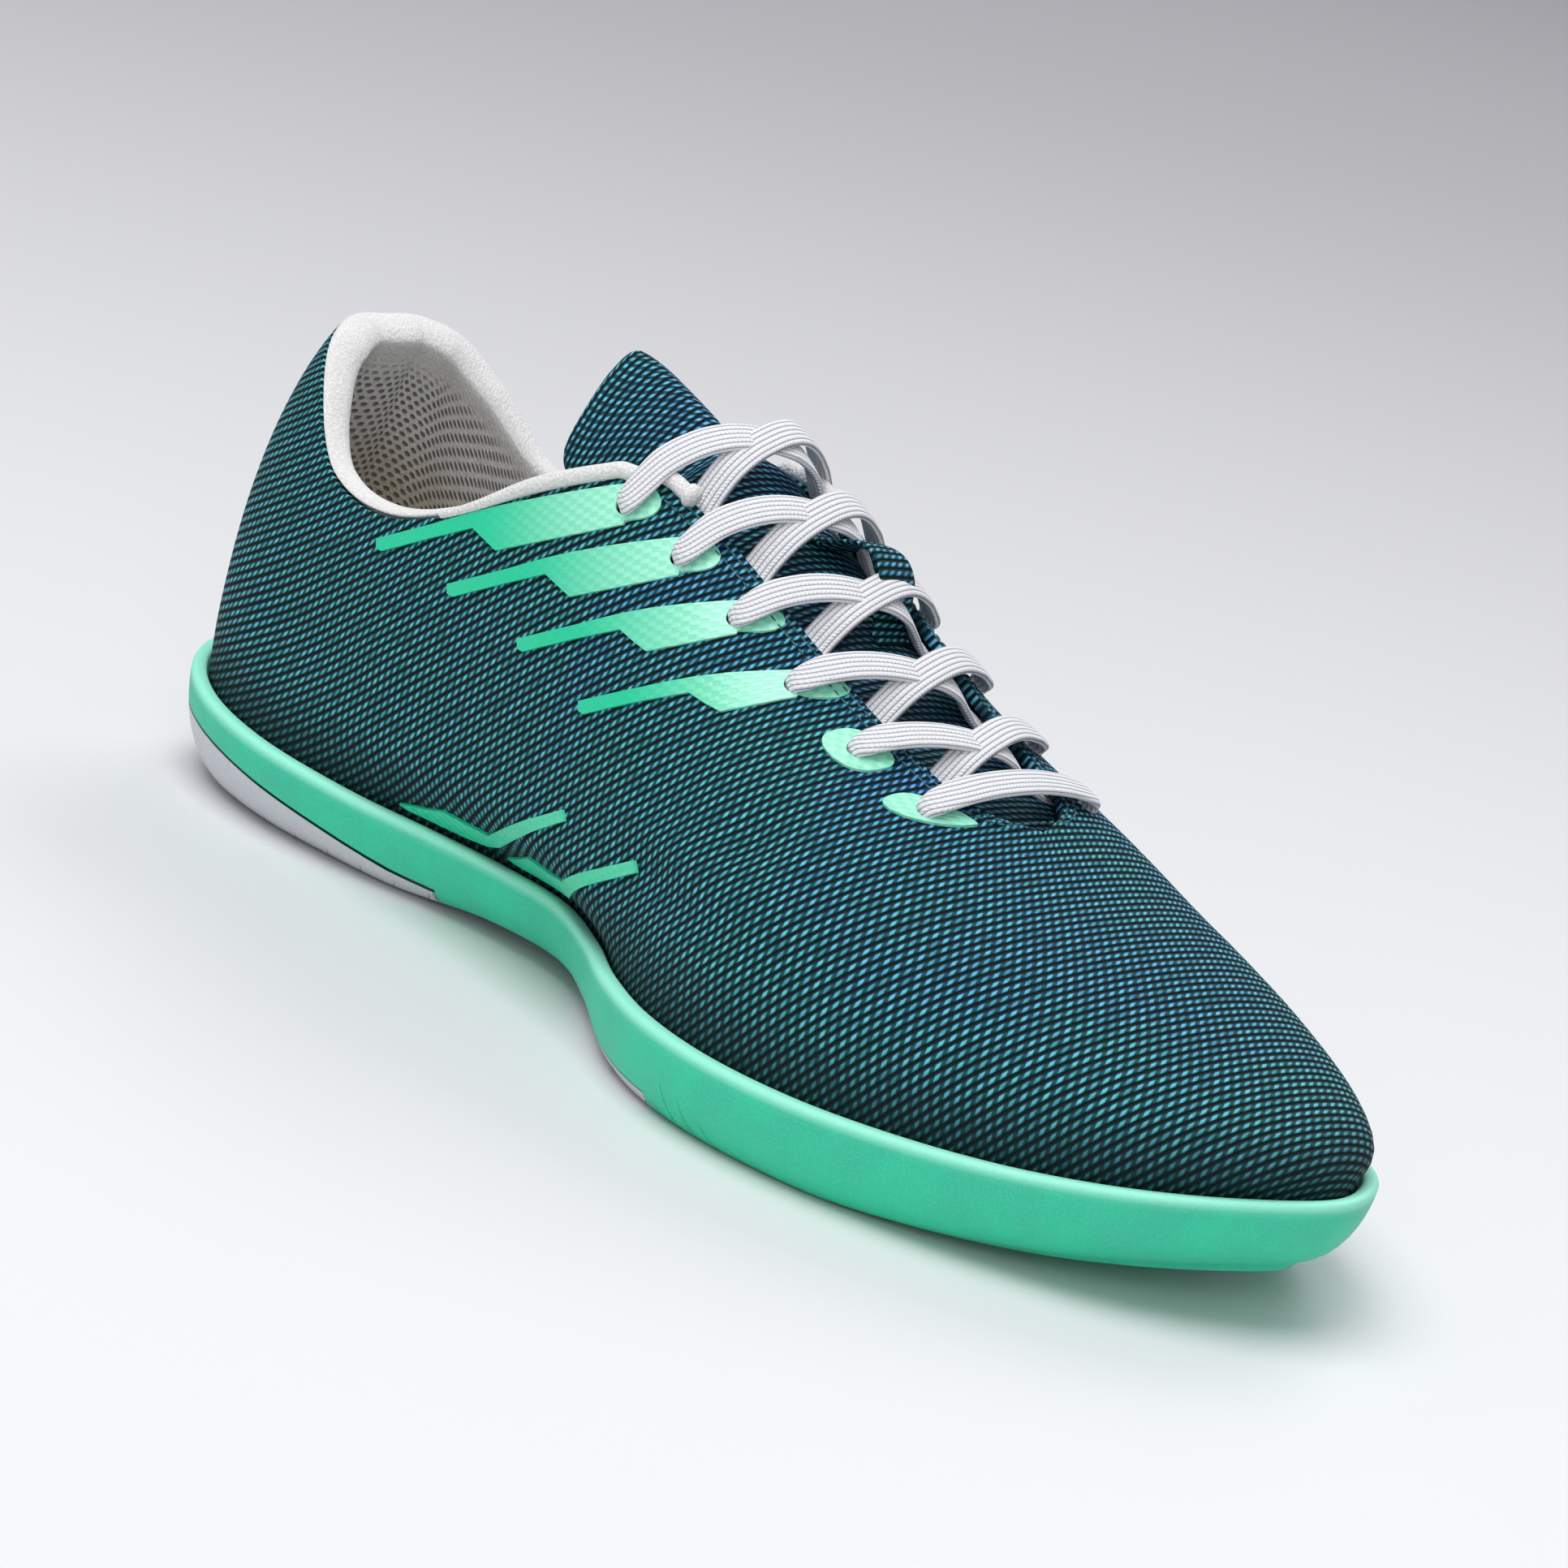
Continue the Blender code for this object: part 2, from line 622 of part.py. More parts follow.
def skin_frame(place, v):
    """Point, upward tangent and outward normal of the upper's outer surface."""
    step = 0.004
    along = skin(place + 0.02, v) - skin(place - 0.02, v)
    upward = skin(place, min(v + step, 1.0)) - skin(place, max(v - step, 0.0))
    return skin(place, v), upward.normalized(), along.cross(upward).normalized()


def edge_v(place):
    return 0.3 + 0.7 * edge_angle(place) / (math.pi / 2)


def lining_section(place):
    share = share_of(UPPER_PLAN.at(place)[0])
    near = UPPER_WALL + FIT_GAP + 0.0001
    pad = LINING_WALL + COLLAR_PAD * min(max(1.25 - share / 0.16, 0.0), 1.0)
    top = edge_v(place)
    points = []
    for v, depth in ((0.02, near), (0.5 * top, near), (0.8 * top, near)):
        point, _, normal = skin_frame(place, v)
        points.append(point - normal * depth)
    point, upward, normal = skin_frame(place, top)
    for depth, above in ((near, -0.001), (near, FIT_GAP), (0.0005, FIT_GAP), (0.0008, ROLL_HEIGHT),
                         (near + pad * 0.4, ROLL_HEIGHT * 1.5), (near + pad, ROLL_HEIGHT * 0.4),
                         (near + pad, -0.006)):
        points.append(point - normal * depth + upward * above)
    for v, depth in ((0.62 * top, near + (pad + LINING_WALL) / 2), (0.02, near + LINING_WALL)):
        point, _, normal = skin_frame(place, v)
        points.append(point - normal * depth)
    return points


def build_lining():
    """White padded lining, from the top of the collar down to the insole, open at the front."""
    last = place_of(LINING_FRONT, -1)
    half = [p for p in STATIONS if p <= last]
    places = [FULL - p for p in half[::-1]] + [p + FULL for p in half[1:]]
    sections = [lining_section(p % FULL) for p in places]
    add("collar_lining", bar("collar_lining", sections), WHITE, PARTS)


def under_roof(x, y, depth):
    return Vector((x, y, roof(x, y))) - roof_normal(x, y) * depth


TONGUE_COLUMNS = [-1.0, -0.72, -0.38, 0.0, 0.38, 0.72, 1.0]
TONGUE_FREE = [
    # along, height of the middle, half width, droop of the edges, how far the edges sweep forward
    (0.392, 0.1003, 0.0225, 0.0175, 0.0000),
    (0.368, 0.1030, 0.0198, 0.0185, 0.0010),
    (0.344, 0.1053, 0.0190, 0.0192, 0.0022),
    (0.318, 0.1074, 0.0196, 0.0200, 0.0038),
    (0.298, 0.1083, 0.0182, 0.0178, 0.0046),
    (0.292, 0.1078, 0.0140, 0.0130, 0.0040),
]
TONGUE_POINT = 1.35          # of the free end's arch: 2 is round, 1 a tent


def build_tongue():
    """Padded tongue: under the throat's edges, then free above the collar."""
    near = UPPER_WALL + FIT_GAP + TONGUE_SLACK
    sections = []
    start = COLLAR_FRONT + 0.012
    for k in range(10):
        x = at_share(TONGUE_ROOT + (start - TONGUE_ROOT) * k / 9)
        half = throat_half(min(x, at_share(THROAT_BASE) - THROAT_HALF_BASE)) + TONGUE_REACH
        columns = [spine_y(x) + half * c for c in TONGUE_COLUMNS]
        outer = [under_roof(x, y, near) for y in columns]
        inner = [under_roof(x, y, near + TONGUE_WALL) for y in columns]
        sections.append(outer + inner[::-1])
    for share, middle, half, droop, sweep in TONGUE_FREE:
        outer, inner = [], []
        for c in TONGUE_COLUMNS:
            fall = droop * abs(c) ** TONGUE_POINT
            point = Vector((at_share(share) + sweep * c * c, spine_y(at_share(share)) + half * c, middle - fall))
            tilt = math.atan(TONGUE_POINT * droop / half * abs(c) ** (TONGUE_POINT - 1))
            normal = Vector((0.0, math.copysign(math.sin(tilt), c), math.cos(tilt)))
            outer.append(point)
            inner.append(point - normal * TONGUE_WALL)
        sections.append(outer + inner[::-1])
    add("tongue", bar("tongue", sections), FABRIC, PARTS)


def lace_band(name, path):
    """Flat band along (x, y, lift) points over the closed throat."""
    centres = [Vector((x, y, roof(x, y))) + roof_normal(x, y) * lift for x, y, lift in path]
    sections = []
    for i, centre in enumerate(centres):
        ahead = centres[min(i + 1, len(centres) - 1)] - centres[max(i - 1, 0)]
        normal = roof_normal(path[i][0], path[i][1])
        wide = ahead.cross(normal).normalized() * LACE_WIDTH / 2
        thick = wide.cross(ahead).normalized() * LACE_THICKNESS / 2
        thick = thick if thick.dot(normal) > 0 else -thick
        edge = 0.62
        sections.append([centre + wide * edge - thick, centre + wide, centre + wide * edge + thick,
                         centre - wide * edge + thick, centre - wide, centre - wide * edge - thick])
    return bar(name, sections)


LACE_REST = 0.0022           # from the upper's surface to the middle of a lace on it


def crossing_path(side, row, raise_middle):
    """From an eyelet across the throat, to just inside the other edge towards the next row."""
    start, _ = eyelet(side, EYELET_ROWS[row])
    x_end = at_share(EYELET_ROWS[row] + 0.62 * (EYELET_ROWS[row + 1] - EYELET_ROWS[row]))
    y_end = spine_y(x_end) - side * (throat_half(x_end) - 0.0024)
    path = []
    for k in range(8):
        t = k / 7
        hump = math.sin(math.pi * min(t / 0.86, 1.0))
        lift = LACE_REST + 0.0012 * hump + raise_middle * math.exp(-((t - 0.5) / 0.22) ** 2)
        if t > 0.86:
            lift = LACE_REST - 0.0026 * (t - 0.86) / 0.14
        path.append((start.x + t * (x_end - start.x), start.y + t * (y_end - start.y), lift))
    return path


def build_laces():
    """Five crossings and the straight bar across the lowest pair of eyelets."""
    for row in range(len(EYELET_ROWS) - 1):
        name = "lace_crossing_%d" % (row + 1)
        lower = add(name, lace_band(name, crossing_path(-1, row, 0.0)), LACE, PARTS)
        upper = cutter(name + "_over", lace_band(name + "_over", crossing_path(1, row, LACE_LIFT)))
        boolean(lower, upper, "UNION")
    left, _ = eyelet(-1, EYELET_ROWS[-1])
    right, _ = eyelet(1, EYELET_ROWS[-1])
    path = []
    for k in range(9):
        t = k / 8
        path.append((left.x + t * (right.x - left.x), left.y + t * (right.y - left.y),
                     LACE_REST + 0.0008 * math.sin(math.pi * t)))
    add("lace_bar", lace_band("lace_bar", path), LACE, PARTS)


def build_upper():
    sections = [upper_section(place) for place in LOOP]
    form, _ = grid([list(row) for row in zip(*sections)], closed=True)
    bmesh.ops.remove_doubles(form, verts=form.verts, dist=0.00005)
    mesh = to_mesh("upper", form)
    upper = add("upper", mesh, FABRIC, PARTS)
    wall = upper.modifiers.new("wall", "SOLIDIFY")
    wall.thickness = UPPER_WALL
    wall.offset = -1
    boolean(upper, EYELET_CUTTER)
    return upper


def on_sole(x, y):
    """Point of the sole's outer surface over a plan point, and its outward normal."""
    start, end = (0.0, HALF) if y < 0 else (HALF, FULL)
    places = np.linspace(start, end, 181)
    for _ in range(2):
        gaps = [np.linalg.norm(SOLE_PLAN.at(place) - (x, y)) for place in places]
        best = int(np.argmin(gaps))
        place, inset = places[best], gaps[best]
        span = places[1] - places[0]
        places = np.linspace(place - span, place + span, 11)
    reach = height(EDGE_INSET, SOLE_PLAN.at(place)[0])
    rim, floor = height(RIM, x), height(FLOOR, x)
    if inset >= reach:
        return Vector((x, y, floor)), Vector((0, 0, -1))
    angle = math.acos(1 - inset / reach)
    outward = -SOLE_PLAN.inward(place) * (rim - floor) * math.cos(angle)
    normal = Vector((outward[0], outward[1], -reach * math.sin(angle))).normalized()
    return Vector((x, y, rim - (rim - floor) * math.sin(angle))), normal


def groove(rows, share):
    """Lens of triangular section along the sole, from its inner to its outer end."""
    inner, outer = smooth(rows, share, 1) * BALL_WIDTH, smooth(rows, share, 2) * BALL_WIDTH
    sweep = smooth(rows, share, 3)
    shares = (0.0, 0.35, 0.8, 1.0)
    track = [on_sole(at_share(share) - sweep * t**4, inner + (outer - inner) * t) for t in shares]
    sections = []
    for i, (point, normal) in enumerate(track):
        ahead = track[min(i + 1, len(track) - 1)][0] - track[max(i - 1, 0)][0]
        fullness = max(math.sin(math.pi * shares[i]) ** 0.6, 0.1)
        wide = ahead.cross(normal).normalized() * GROOVE_WIDTH / 2 * fullness
        lift = normal * GROOVE_DEPTH / 2
        sections.append([point + wide * 1.4 + lift, point - wide * 1.4 + lift,
                         point - normal * GROOVE_DEPTH * fullness])
    return sections


def groove_cutter():
    form = bmesh.new()
    for rows in (LATERAL_GROOVES, MEDIAL_GROOVES):
        first, last = rows[0][0], rows[-1][0]
        count = round((last - first) * SHOE_LENGTH / GROOVE_PITCH) + 1
        for k in range(count):
            share = first + (last - first) * k / (count - 1)
            one = bar("groove", groove(rows, share))
            form.from_mesh(one)
            bpy.data.meshes.remove(one)
    mesh = bpy.data.meshes.new("tread_grooves")
    form.to_mesh(mesh)
    form.free()
    return cutter("tread_grooves", mesh)


def walk_up(side, share, z, distance):
    """Height reached by walking up the upper's surface from a height, across the shoe."""
    steps = 4
    for _ in range(steps):
        ahead = side_point(side, share, z + 0.001) - side_point(side, share, z)
        z += distance / steps * ahead[2] / max(np.linalg.norm(ahead), 1e-5)
    return z


def film_section(side, edges, seat=FILM_SEAT):
    """Inner and outer edge points of a film, on the upper between (share, height) edges."""
    step = 0.002
    inner, outer = [], []
    for share, z in edges:
        point = Vector(side_point(side, share, z))
        along = Vector(side_point(side, share + step, z)) - Vector(side_point(side, share - step, z))
        upward = Vector(side_point(side, share, z + step / 2)) - Vector(side_point(side, share, z - step / 2))
        normal = along.cross(upward).normalized() * -side
        inner.append(point + normal * seat)
        outer.append(point + normal * (seat + FILM))
    return inner, outer


def thin_sheet(name, sections):
    """Solid between inner and outer rows of points, whose two faces are split along like diagonals."""
    form = bmesh.new()
    layers = [[[form.verts.new(p) for p in row] for row in side] for side in zip(*sections)]
    inner, outer = layers
    last = len(inner[0]) - 1
    for layer in layers:
        for a, b in zip(layer, layer[1:]):
            for i in range(last):
                form.faces.new((a[i], a[i + 1], b[i + 1]))
                form.faces.new((a[i], b[i + 1], b[i]))
    for k in range(len(inner) - 1):
        for i in (0, last):
            form.faces.new((inner[k][i], inner[k + 1][i], outer[k + 1][i]))
            form.faces.new((inner[k][i], outer[k + 1][i], outer[k][i]))
    for k in (0, -1):
        for i in range(last):
            form.faces.new((inner[k][i], inner[k][i + 1], outer[k][i + 1], outer[k][i]))
    return to_mesh(name, form)


def film_at_eyelet(name, row, rise, rows):
    """Film through a lateral eyelet, rising towards it; rows give back, low and high."""
    centre, _ = eyelet(-1, EYELET_ROWS[row])
    ahead, _ = eyelet(-1, EYELET_ROWS[row] + 0.03)
    turn = math.atan(rise)
    sections = []
    for back, low, high in rows:
        edges = []
        for up in (low, (low + high) / 2, high):
            share = share_of(centre.x - back * math.cos(turn) - up * math.sin(turn))
            start = centre.z - back * math.sin(turn)
            if back < 0:
                start = centre.z + (ahead.z - centre.z) / (ahead.x - centre.x) * -back * math.cos(turn)
            edges.append((share, walk_up(-1, share, start, up * math.cos(turn))))
        sections.append(film_section(-1, edges))
    boolean(add(name, thin_sheet(name, sections), FILM_GREEN, PARTS), EYELET_CUTTER)


def finer(rows, step):
    """Rows with extra ones between, so that the first column moves by no more than a step."""
    result = [rows[0]]
    for a, b in zip(rows, rows[1:]):
        count = math.ceil(abs(b[0] - a[0]) / step)
        for k in range(1, count + 1):
            result.append(tuple(p + (q - p) * k / count for p, q in zip(a, b)))
    return result


def build_films():
    """Green films: beside the four upper eyelets, rings on the lower ones, flashes from the rim."""
    for row, head in enumerate(FILM_HEADS):
        rows = FILM_HEAD + [(head + back, low, high) for back, low, high in FILM_TAIL]
        film_at_eyelet("eyelet_film_%d" % (row + 1), row, FILM_RISE, finer(rows, 0.011))
    half_width, half_length = FILM_RING
    for row in (4, 5):
        rows = []
        for t in (-1.0, -0.75, 0.0, 0.75, 1.0):
            half = half_width * max(math.sqrt(1 - t * t), 0.3)
            rows.append((half_length * t, -half, half))
        film_at_eyelet("eyelet_ring_%d" % (row + 1), row, 0.0, rows)
    flashes = [("lateral_flash_%d" % (k + 1), -1, 0.0, rows) for k, rows in enumerate(LATERAL_FLASHES)]
    flashes += [("medial_flash_%d" % (k + 1), 1, (k - 2) * FLASH_STEP, LATERAL_FLASHES[1]) for k in range(4)]
    for name, side, shift, rows in flashes:
        sections = []
        for low, low_z, high, high_z in finer(rows, 0.020):
            edges = [(low + shift, low_z), (high + shift, high_z)]
            sections.append(film_section(side, edges, FLASH_SEAT))
        add(name, thin_sheet(name, sections), FILM_GREEN, PARTS)


def eyelet_cutter():
    form = bmesh.new()
    for side in (-1, 1):
        for share in EYELET_ROWS:
            centre, normal = eyelet(side, share)
            made = bmesh.ops.create_cone(form, cap_ends=True, segments=8, radius1=EYELET_RADIUS,
                                         radius2=EYELET_RADIUS, depth=0.010)
            turn = Vector((0, 0, 1)).rotation_difference(normal).to_matrix()
            bmesh.ops.rotate(form, verts=made["verts"], cent=(0, 0, 0), matrix=turn)
            bmesh.ops.translate(form, verts=made["verts"], vec=centre)
    mesh = bpy.data.meshes.new("eyelet_holes")
    form.to_mesh(mesh)
    form.free()
    return cutter("eyelet_holes", mesh)


for old in list(bpy.data.objects):
    bpy.data.objects.remove(old, do_unlink=True)
PARTS = collection("indoor_soccer_shoe")
CUTTERS = collection("cutters", hidden=True)
GREEN = finish("green rubber", (0.06, 0.75, 0.45), 0.5)
PALE = finish("pale rubber", (0.62, 0.64, 0.68), 0.45)
INSOLE = finish("insole foam", (0.75, 0.73, 0.68), 0.9)
FABRIC = finish("woven upper", (0.02, 0.10, 0.13), 0.6)
FILM_GREEN = finish("green film", (0.03, 0.72, 0.42), 0.4)
WHITE = finish("white lining", (0.80, 0.79, 0.77), 0.8)
LACE = finish("woven lace", (0.74, 0.74, 0.77), 0.7)
EYELET_CUTTER = eyelet_cutter()

build_sole()
build_insole()
build_upper()
build_films()
build_lining()
build_tongue()
build_laces()
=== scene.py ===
"""Looks of the indoor soccer shoe: a right shoe, empty, standing on its sole.

Frame: metres, +X towards the toe, +Y towards the medial side (the big toe), +Z up.
"""
import math
from functools import lru_cache

import bmesh
import bpy
import numpy as np
from mathutils import Matrix, Vector


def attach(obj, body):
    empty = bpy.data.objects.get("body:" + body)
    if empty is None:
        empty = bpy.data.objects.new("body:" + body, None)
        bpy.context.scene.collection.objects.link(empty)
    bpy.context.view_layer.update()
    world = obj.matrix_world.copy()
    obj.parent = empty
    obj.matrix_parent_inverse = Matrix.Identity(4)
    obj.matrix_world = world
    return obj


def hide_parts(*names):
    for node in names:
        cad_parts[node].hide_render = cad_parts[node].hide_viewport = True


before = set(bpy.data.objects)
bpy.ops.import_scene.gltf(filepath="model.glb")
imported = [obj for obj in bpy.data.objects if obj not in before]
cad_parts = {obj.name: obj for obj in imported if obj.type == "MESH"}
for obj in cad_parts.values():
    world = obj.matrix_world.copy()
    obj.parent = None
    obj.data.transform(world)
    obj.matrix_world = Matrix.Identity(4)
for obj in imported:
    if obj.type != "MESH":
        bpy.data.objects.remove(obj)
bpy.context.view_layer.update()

# Driving sizes
SHOE_LENGTH = 0.285          # heel to toe, over the sole
BALL_WIDTH = 0.105           # plan tables are shares of this width
HEEL_SEAT = 0.038            # from the back of the heel to the origin
FIT_GAP = 0.0003             # clearance between two pieces that touch

# Sole
RIM_WIDTH = 0.0030           # flat top of the cup's rim, outside the upper
RIM_TUCK = 0.0015            # how much the cup's inner wall leans in, rim to footbed
PLATE_THICKNESS = 0.0030     # pale ground plate and its two insets
GROOVE_WIDTH = 0.0024        # of a tread groove at its middle
GROOVE_DEPTH = 0.0013
SIDE_PLATE_HEIGHT = 0.0105   # how far the pale plate climbs the outer side of the heel

# Upper, lining, tongue, insole
UPPER_WALL = 0.0018
LINING_WALL = 0.0018
COLLAR_PAD = 0.0040          # extra thickness of the padded lining behind the heel
ROLL_HEIGHT = 0.0018         # how far the lining's roll stands above the upper's edge
TONGUE_WALL = 0.0030
TONGUE_REACH = 0.0060        # how far the tongue goes under each edge of the throat
TONGUE_SLACK = 0.0009        # room for the bend of the upper above the tongue
INSOLE_THICKNESS = 0.0035
THROAT_HALF_TOP = 0.0190     # half width of the throat at its top
THROAT_HALF_BASE = 0.0125    # and at its round base
EYELET_SETBACK = 0.0085      # from the throat's edge to an eyelet's centre
EYELET_RADIUS = 0.0021
FILM = 0.0004                # thickness of the green films on the upper

# Lace
LACE_WIDTH = 0.0062
LACE_THICKNESS = 0.0016
LACE_LIFT = 0.0012           # how far the upper lace lies over the lower one

# Places as shares of SHOE_LENGTH
HEEL_POLE = 0.150            # sections fan out from here around the heel
TOE_POLE = 0.790             # and from here around the toe
COLLAR_FRONT = 0.405         # front corner of the collar
LINING_FRONT = 0.375
THROAT_BASE = 0.712
COLLAR_BACK = 0.290          # sections behind this have no throat
TONGUE_ROOT = 0.760
EYELET_ROWS = (0.400, 0.455, 0.511, 0.568, 0.626, 0.684)

SECTION_POWER = 2.25         # of the upper's arch: 2 is an ellipse, more is boxier

# Plan outlines: share of the length, then shares of BALL_WIDTH to each side
PLAN = [
    # along, sole_lateral, sole_medial, upper_lateral, upper_medial
    (0.014, 0.150, 0.165, 0.100, 0.112),
    (0.045, 0.250, 0.262, 0.215, 0.222),
    (0.090, 0.312, 0.305, 0.278, 0.270),
    (0.160, 0.342, 0.322, 0.312, 0.298),
    (0.240, 0.318, 0.272, 0.322, 0.304),
    (0.310, 0.272, 0.182, 0.326, 0.308),
    (0.370, 0.250, 0.142, 0.334, 0.322),
    (0.430, 0.258, 0.148, 0.350, 0.342),
    (0.490, 0.332, 0.262, 0.376, 0.372),
    (0.545, 0.424, 0.405, 0.404, 0.404),
    (0.600, 0.484, 0.482, 0.450, 0.450),
    (0.660, 0.506, 0.519, 0.475, 0.487),
    (0.730, 0.486, 0.530, 0.456, 0.500),
    (0.800, 0.430, 0.510, 0.400, 0.480),
    (0.870, 0.342, 0.458, 0.313, 0.427),
    (0.930, 0.237, 0.371, 0.206, 0.337),
    (0.975, 0.092, 0.248, 0.058, 0.208),
]
SOLE_TIPS = (0.0, 0.008), (1.0, 0.085)         # heel, toe: along, medial
UPPER_TIPS = (0.0118, 0.008), (0.9870, 0.080)

# Heights above the floor, in metres
PROFILE = [
    # along, floor, rim, footbed, edge_inset, widest, ridge
    (0.00, 0.0038, 0.0228, 0.0110, 0.0100, 0.0340, 0.1120),
    (0.05, 0.0010, 0.0206, 0.0104, 0.0105, 0.0335, 0.1110),
    (0.10, 0.0000, 0.0187, 0.0098, 0.0110, 0.0325, 0.1080),
    (0.20, 0.0000, 0.0169, 0.0094, 0.0110, 0.0320, 0.1050),
    (0.28, 0.0000, 0.0159, 0.0094, 0.0095, 0.0320, 0.1080),
    (0.36, 0.0028, 0.0157, 0.0100, 0.0075, 0.0325, 0.1075),
    (0.45, 0.0036, 0.0161, 0.0100, 0.0065, 0.0310, 0.0965),
    (0.55, 0.0005, 0.0165, 0.0085, 0.0065, 0.0265, 0.0805),
    (0.61, 0.0000, 0.0164, 0.0076, 0.0070, 0.0240, 0.0718),
    (0.70, 0.0000, 0.0165, 0.0072, 0.0075, 0.0220, 0.0622),
    (0.77, 0.0002, 0.0172, 0.0074, 0.0080, 0.0222, 0.0545),
    (0.86, 0.0030, 0.0192, 0.0098, 0.0085, 0.0240, 0.0475),
    (0.93, 0.0068, 0.0222, 0.0132, 0.0090, 0.0268, 0.0428),
    (1.00, 0.0110, 0.0258, 0.0170, 0.0095, 0.0300, 0.0385),
]
FLOOR, RIM, FOOTBED, EDGE_INSET, WIDEST, RIDGE = range(1, 7)

# Height of the topline, and the ridge's shift to the medial side
TOPLINE = [(0.00, 0.0920), (0.04, 0.0890), (0.09, 0.0810), (0.15, 0.0693), (0.21, 0.0675),
           (0.27, 0.0738), (0.33, 0.0853), (0.38, 0.0930), (0.41, 0.0965), (0.50, 0.1500)]
SPINE = [(0.0, 0.0), (0.35, 0.0005), (0.65, 0.0035), (1.0, 0.0085)]

# Ground plate and insets: share of the length, share of BALL_WIDTH to the medial side
WEB_OUTLINE = [
    (0.925, 0.155), (0.916, 0.105), (0.880, 0.078), (0.758, -0.030), (0.716, -0.114),
    (0.674, -0.190), (0.640, -0.285), (0.622, -0.380), (0.612, -0.560), (0.505, -0.560),
    (0.477, -0.267), (0.455, -0.200), (0.435, -0.150), (0.410, -0.133), (0.358, -0.156),
    (0.288, -0.219), (0.235, -0.300), (0.205, -0.420), (-0.020, -0.420), (-0.020, 0.000),
    (0.012, 0.026), (0.105, 0.038), (0.168, 0.114), (0.205, 0.160), (0.226, 0.174), (0.248, 0.178),
    (0.323, 0.086), (0.379, 0.020), (0.407, 0.000), (0.438, 0.020), (0.468, 0.110),
    (0.505, 0.270), (0.520, 0.560), (0.628, 0.560), (0.646, 0.438), (0.674, 0.305),
    (0.686, 0.240), (0.700, 0.214), (0.800, 0.194), (0.900, 0.181),
]
BALL_INSET = [(0.545, -0.257), (0.534, -0.252), (0.481, -0.112), (0.482, -0.090), (0.601, 0.312),
              (0.618, 0.325), (0.634, 0.262), (0.637, 0.205)]
HEEL_INSET = [(0.331, -0.042), (0.267, 0.036), (0.250, 0.034), (0.144, -0.132), (0.155, -0.172)]

# Tread grooves: share of the length, then the inner and the outer end as shares of
# BALL_WIDTH to the medial side, and how far the outer end sweeps back, in metres
LATERAL_GROOVES = [
    (0.645, -0.340, -0.470, 0.005),
    (0.668, -0.235, -0.494, 0.008),
    (0.710, -0.160, -0.482, 0.009),
    (0.765, -0.105, -0.440, 0.008),
    (0.815, -0.045, -0.368, 0.005),
    (0.865, -0.018, -0.270, 0.003),
    (0.915, 0.020, -0.155, 0.001),
    (0.940, 0.055, -0.045, 0.001),
]
MEDIAL_GROOVES = [
    (0.655, 0.340, 0.440, 0.005),
    (0.680, 0.262, 0.505, 0.006),
    (0.740, 0.245, 0.510, 0.006),
    (0.800, 0.240, 0.490, 0.005),
    (0.860, 0.240, 0.438, 0.002),
    (0.915, 0.235, 0.350, 0.001),
    (0.938, 0.225, 0.300, 0.000),
]
GROOVE_PITCH = 0.0056

# Green films beside the four upper eyelets, in metres: back along the film from its step, then
# its lower and upper edge
FILM_RISE = 0.55             # slope of the films, seen from the side
FILM_HEADS = (0.0340, 0.0270, 0.0200, 0.0150)  # from each eyelet back to the step
FILM_EDGES = (-0.0042, 0.0044)                 # lower and upper edge at the eyelet
FILM_TAIL = [(-0.0060, -0.0040, 0.0044), (0.0, 0.0012, 0.0042), (0.0100, 0.0010, 0.0036),
             (0.0235, 0.0006, 0.0032), (0.0248, 0.0014, 0.0032)]
FILM_RING = (0.0044, 0.0056)  # half width and half length of the rings of the lower eyelets

# Films that rise from the rim: share and height of the lower edge, then of the upper edge
LATERAL_FLASHES = [
    [(0.288, 0.0176, 0.282, 0.0182), (0.318, 0.0176, 0.306, 0.0200), (0.338, 0.0178, 0.325, 0.0218),
     (0.358, 0.0186, 0.348, 0.0218), (0.376, 0.0205, 0.370, 0.0222), (0.420, 0.0280, 0.414, 0.0298),
     (0.463, 0.0358, 0.458, 0.0374)],
    [(0.384, 0.0176, 0.376, 0.0182), (0.410, 0.0178, 0.396, 0.0206), (0.430, 0.0184, 0.413, 0.0230),
     (0.450, 0.0196, 0.441, 0.0234), (0.470, 0.0226, 0.464, 0.0246), (0.508, 0.0292, 0.502, 0.0310),
     (0.547, 0.0358, 0.541, 0.0374)],
]
FLASH_STEP = 0.078           # between the four flashes of the medial side, as a share

# Cloth of the upper and its weave
COLUMNS = 380                # sections around the upper
RIM_STEP = 0.0008            # from the rim up to the upper's lowest free row
WIDEST_V = 0.3               # measure of the widest line on the way from the rim to the ridge
LEAN = 1.15                  # how far the weave's ribs lean forward over the quarter
HEEL_LEAN = 1.0              # more at the very back, fading out to HEEL_END
HEEL_END = 0.24
VAMP_LEAN = 0.35             # less over the vamp, growing from the first share to the second
VAMP_FADE = (0.45, 0.70)
RIB_PITCH = 0.00165          # of the weave over the upper
BEAD_PITCH = 0.00200         # of the floats along a rib, each with a painted highlight
TONGUE_RIB = 0.00155
SHADE_HEIGHT = 0.016         # above the rim, where the painted shade ends and the cloth has its full colour
CLOTH_WELD = 0.00003         # merges the upper's points in its seam and under its pole
RING_WELD = 0.00001          # and those of the sole's rings and prisms

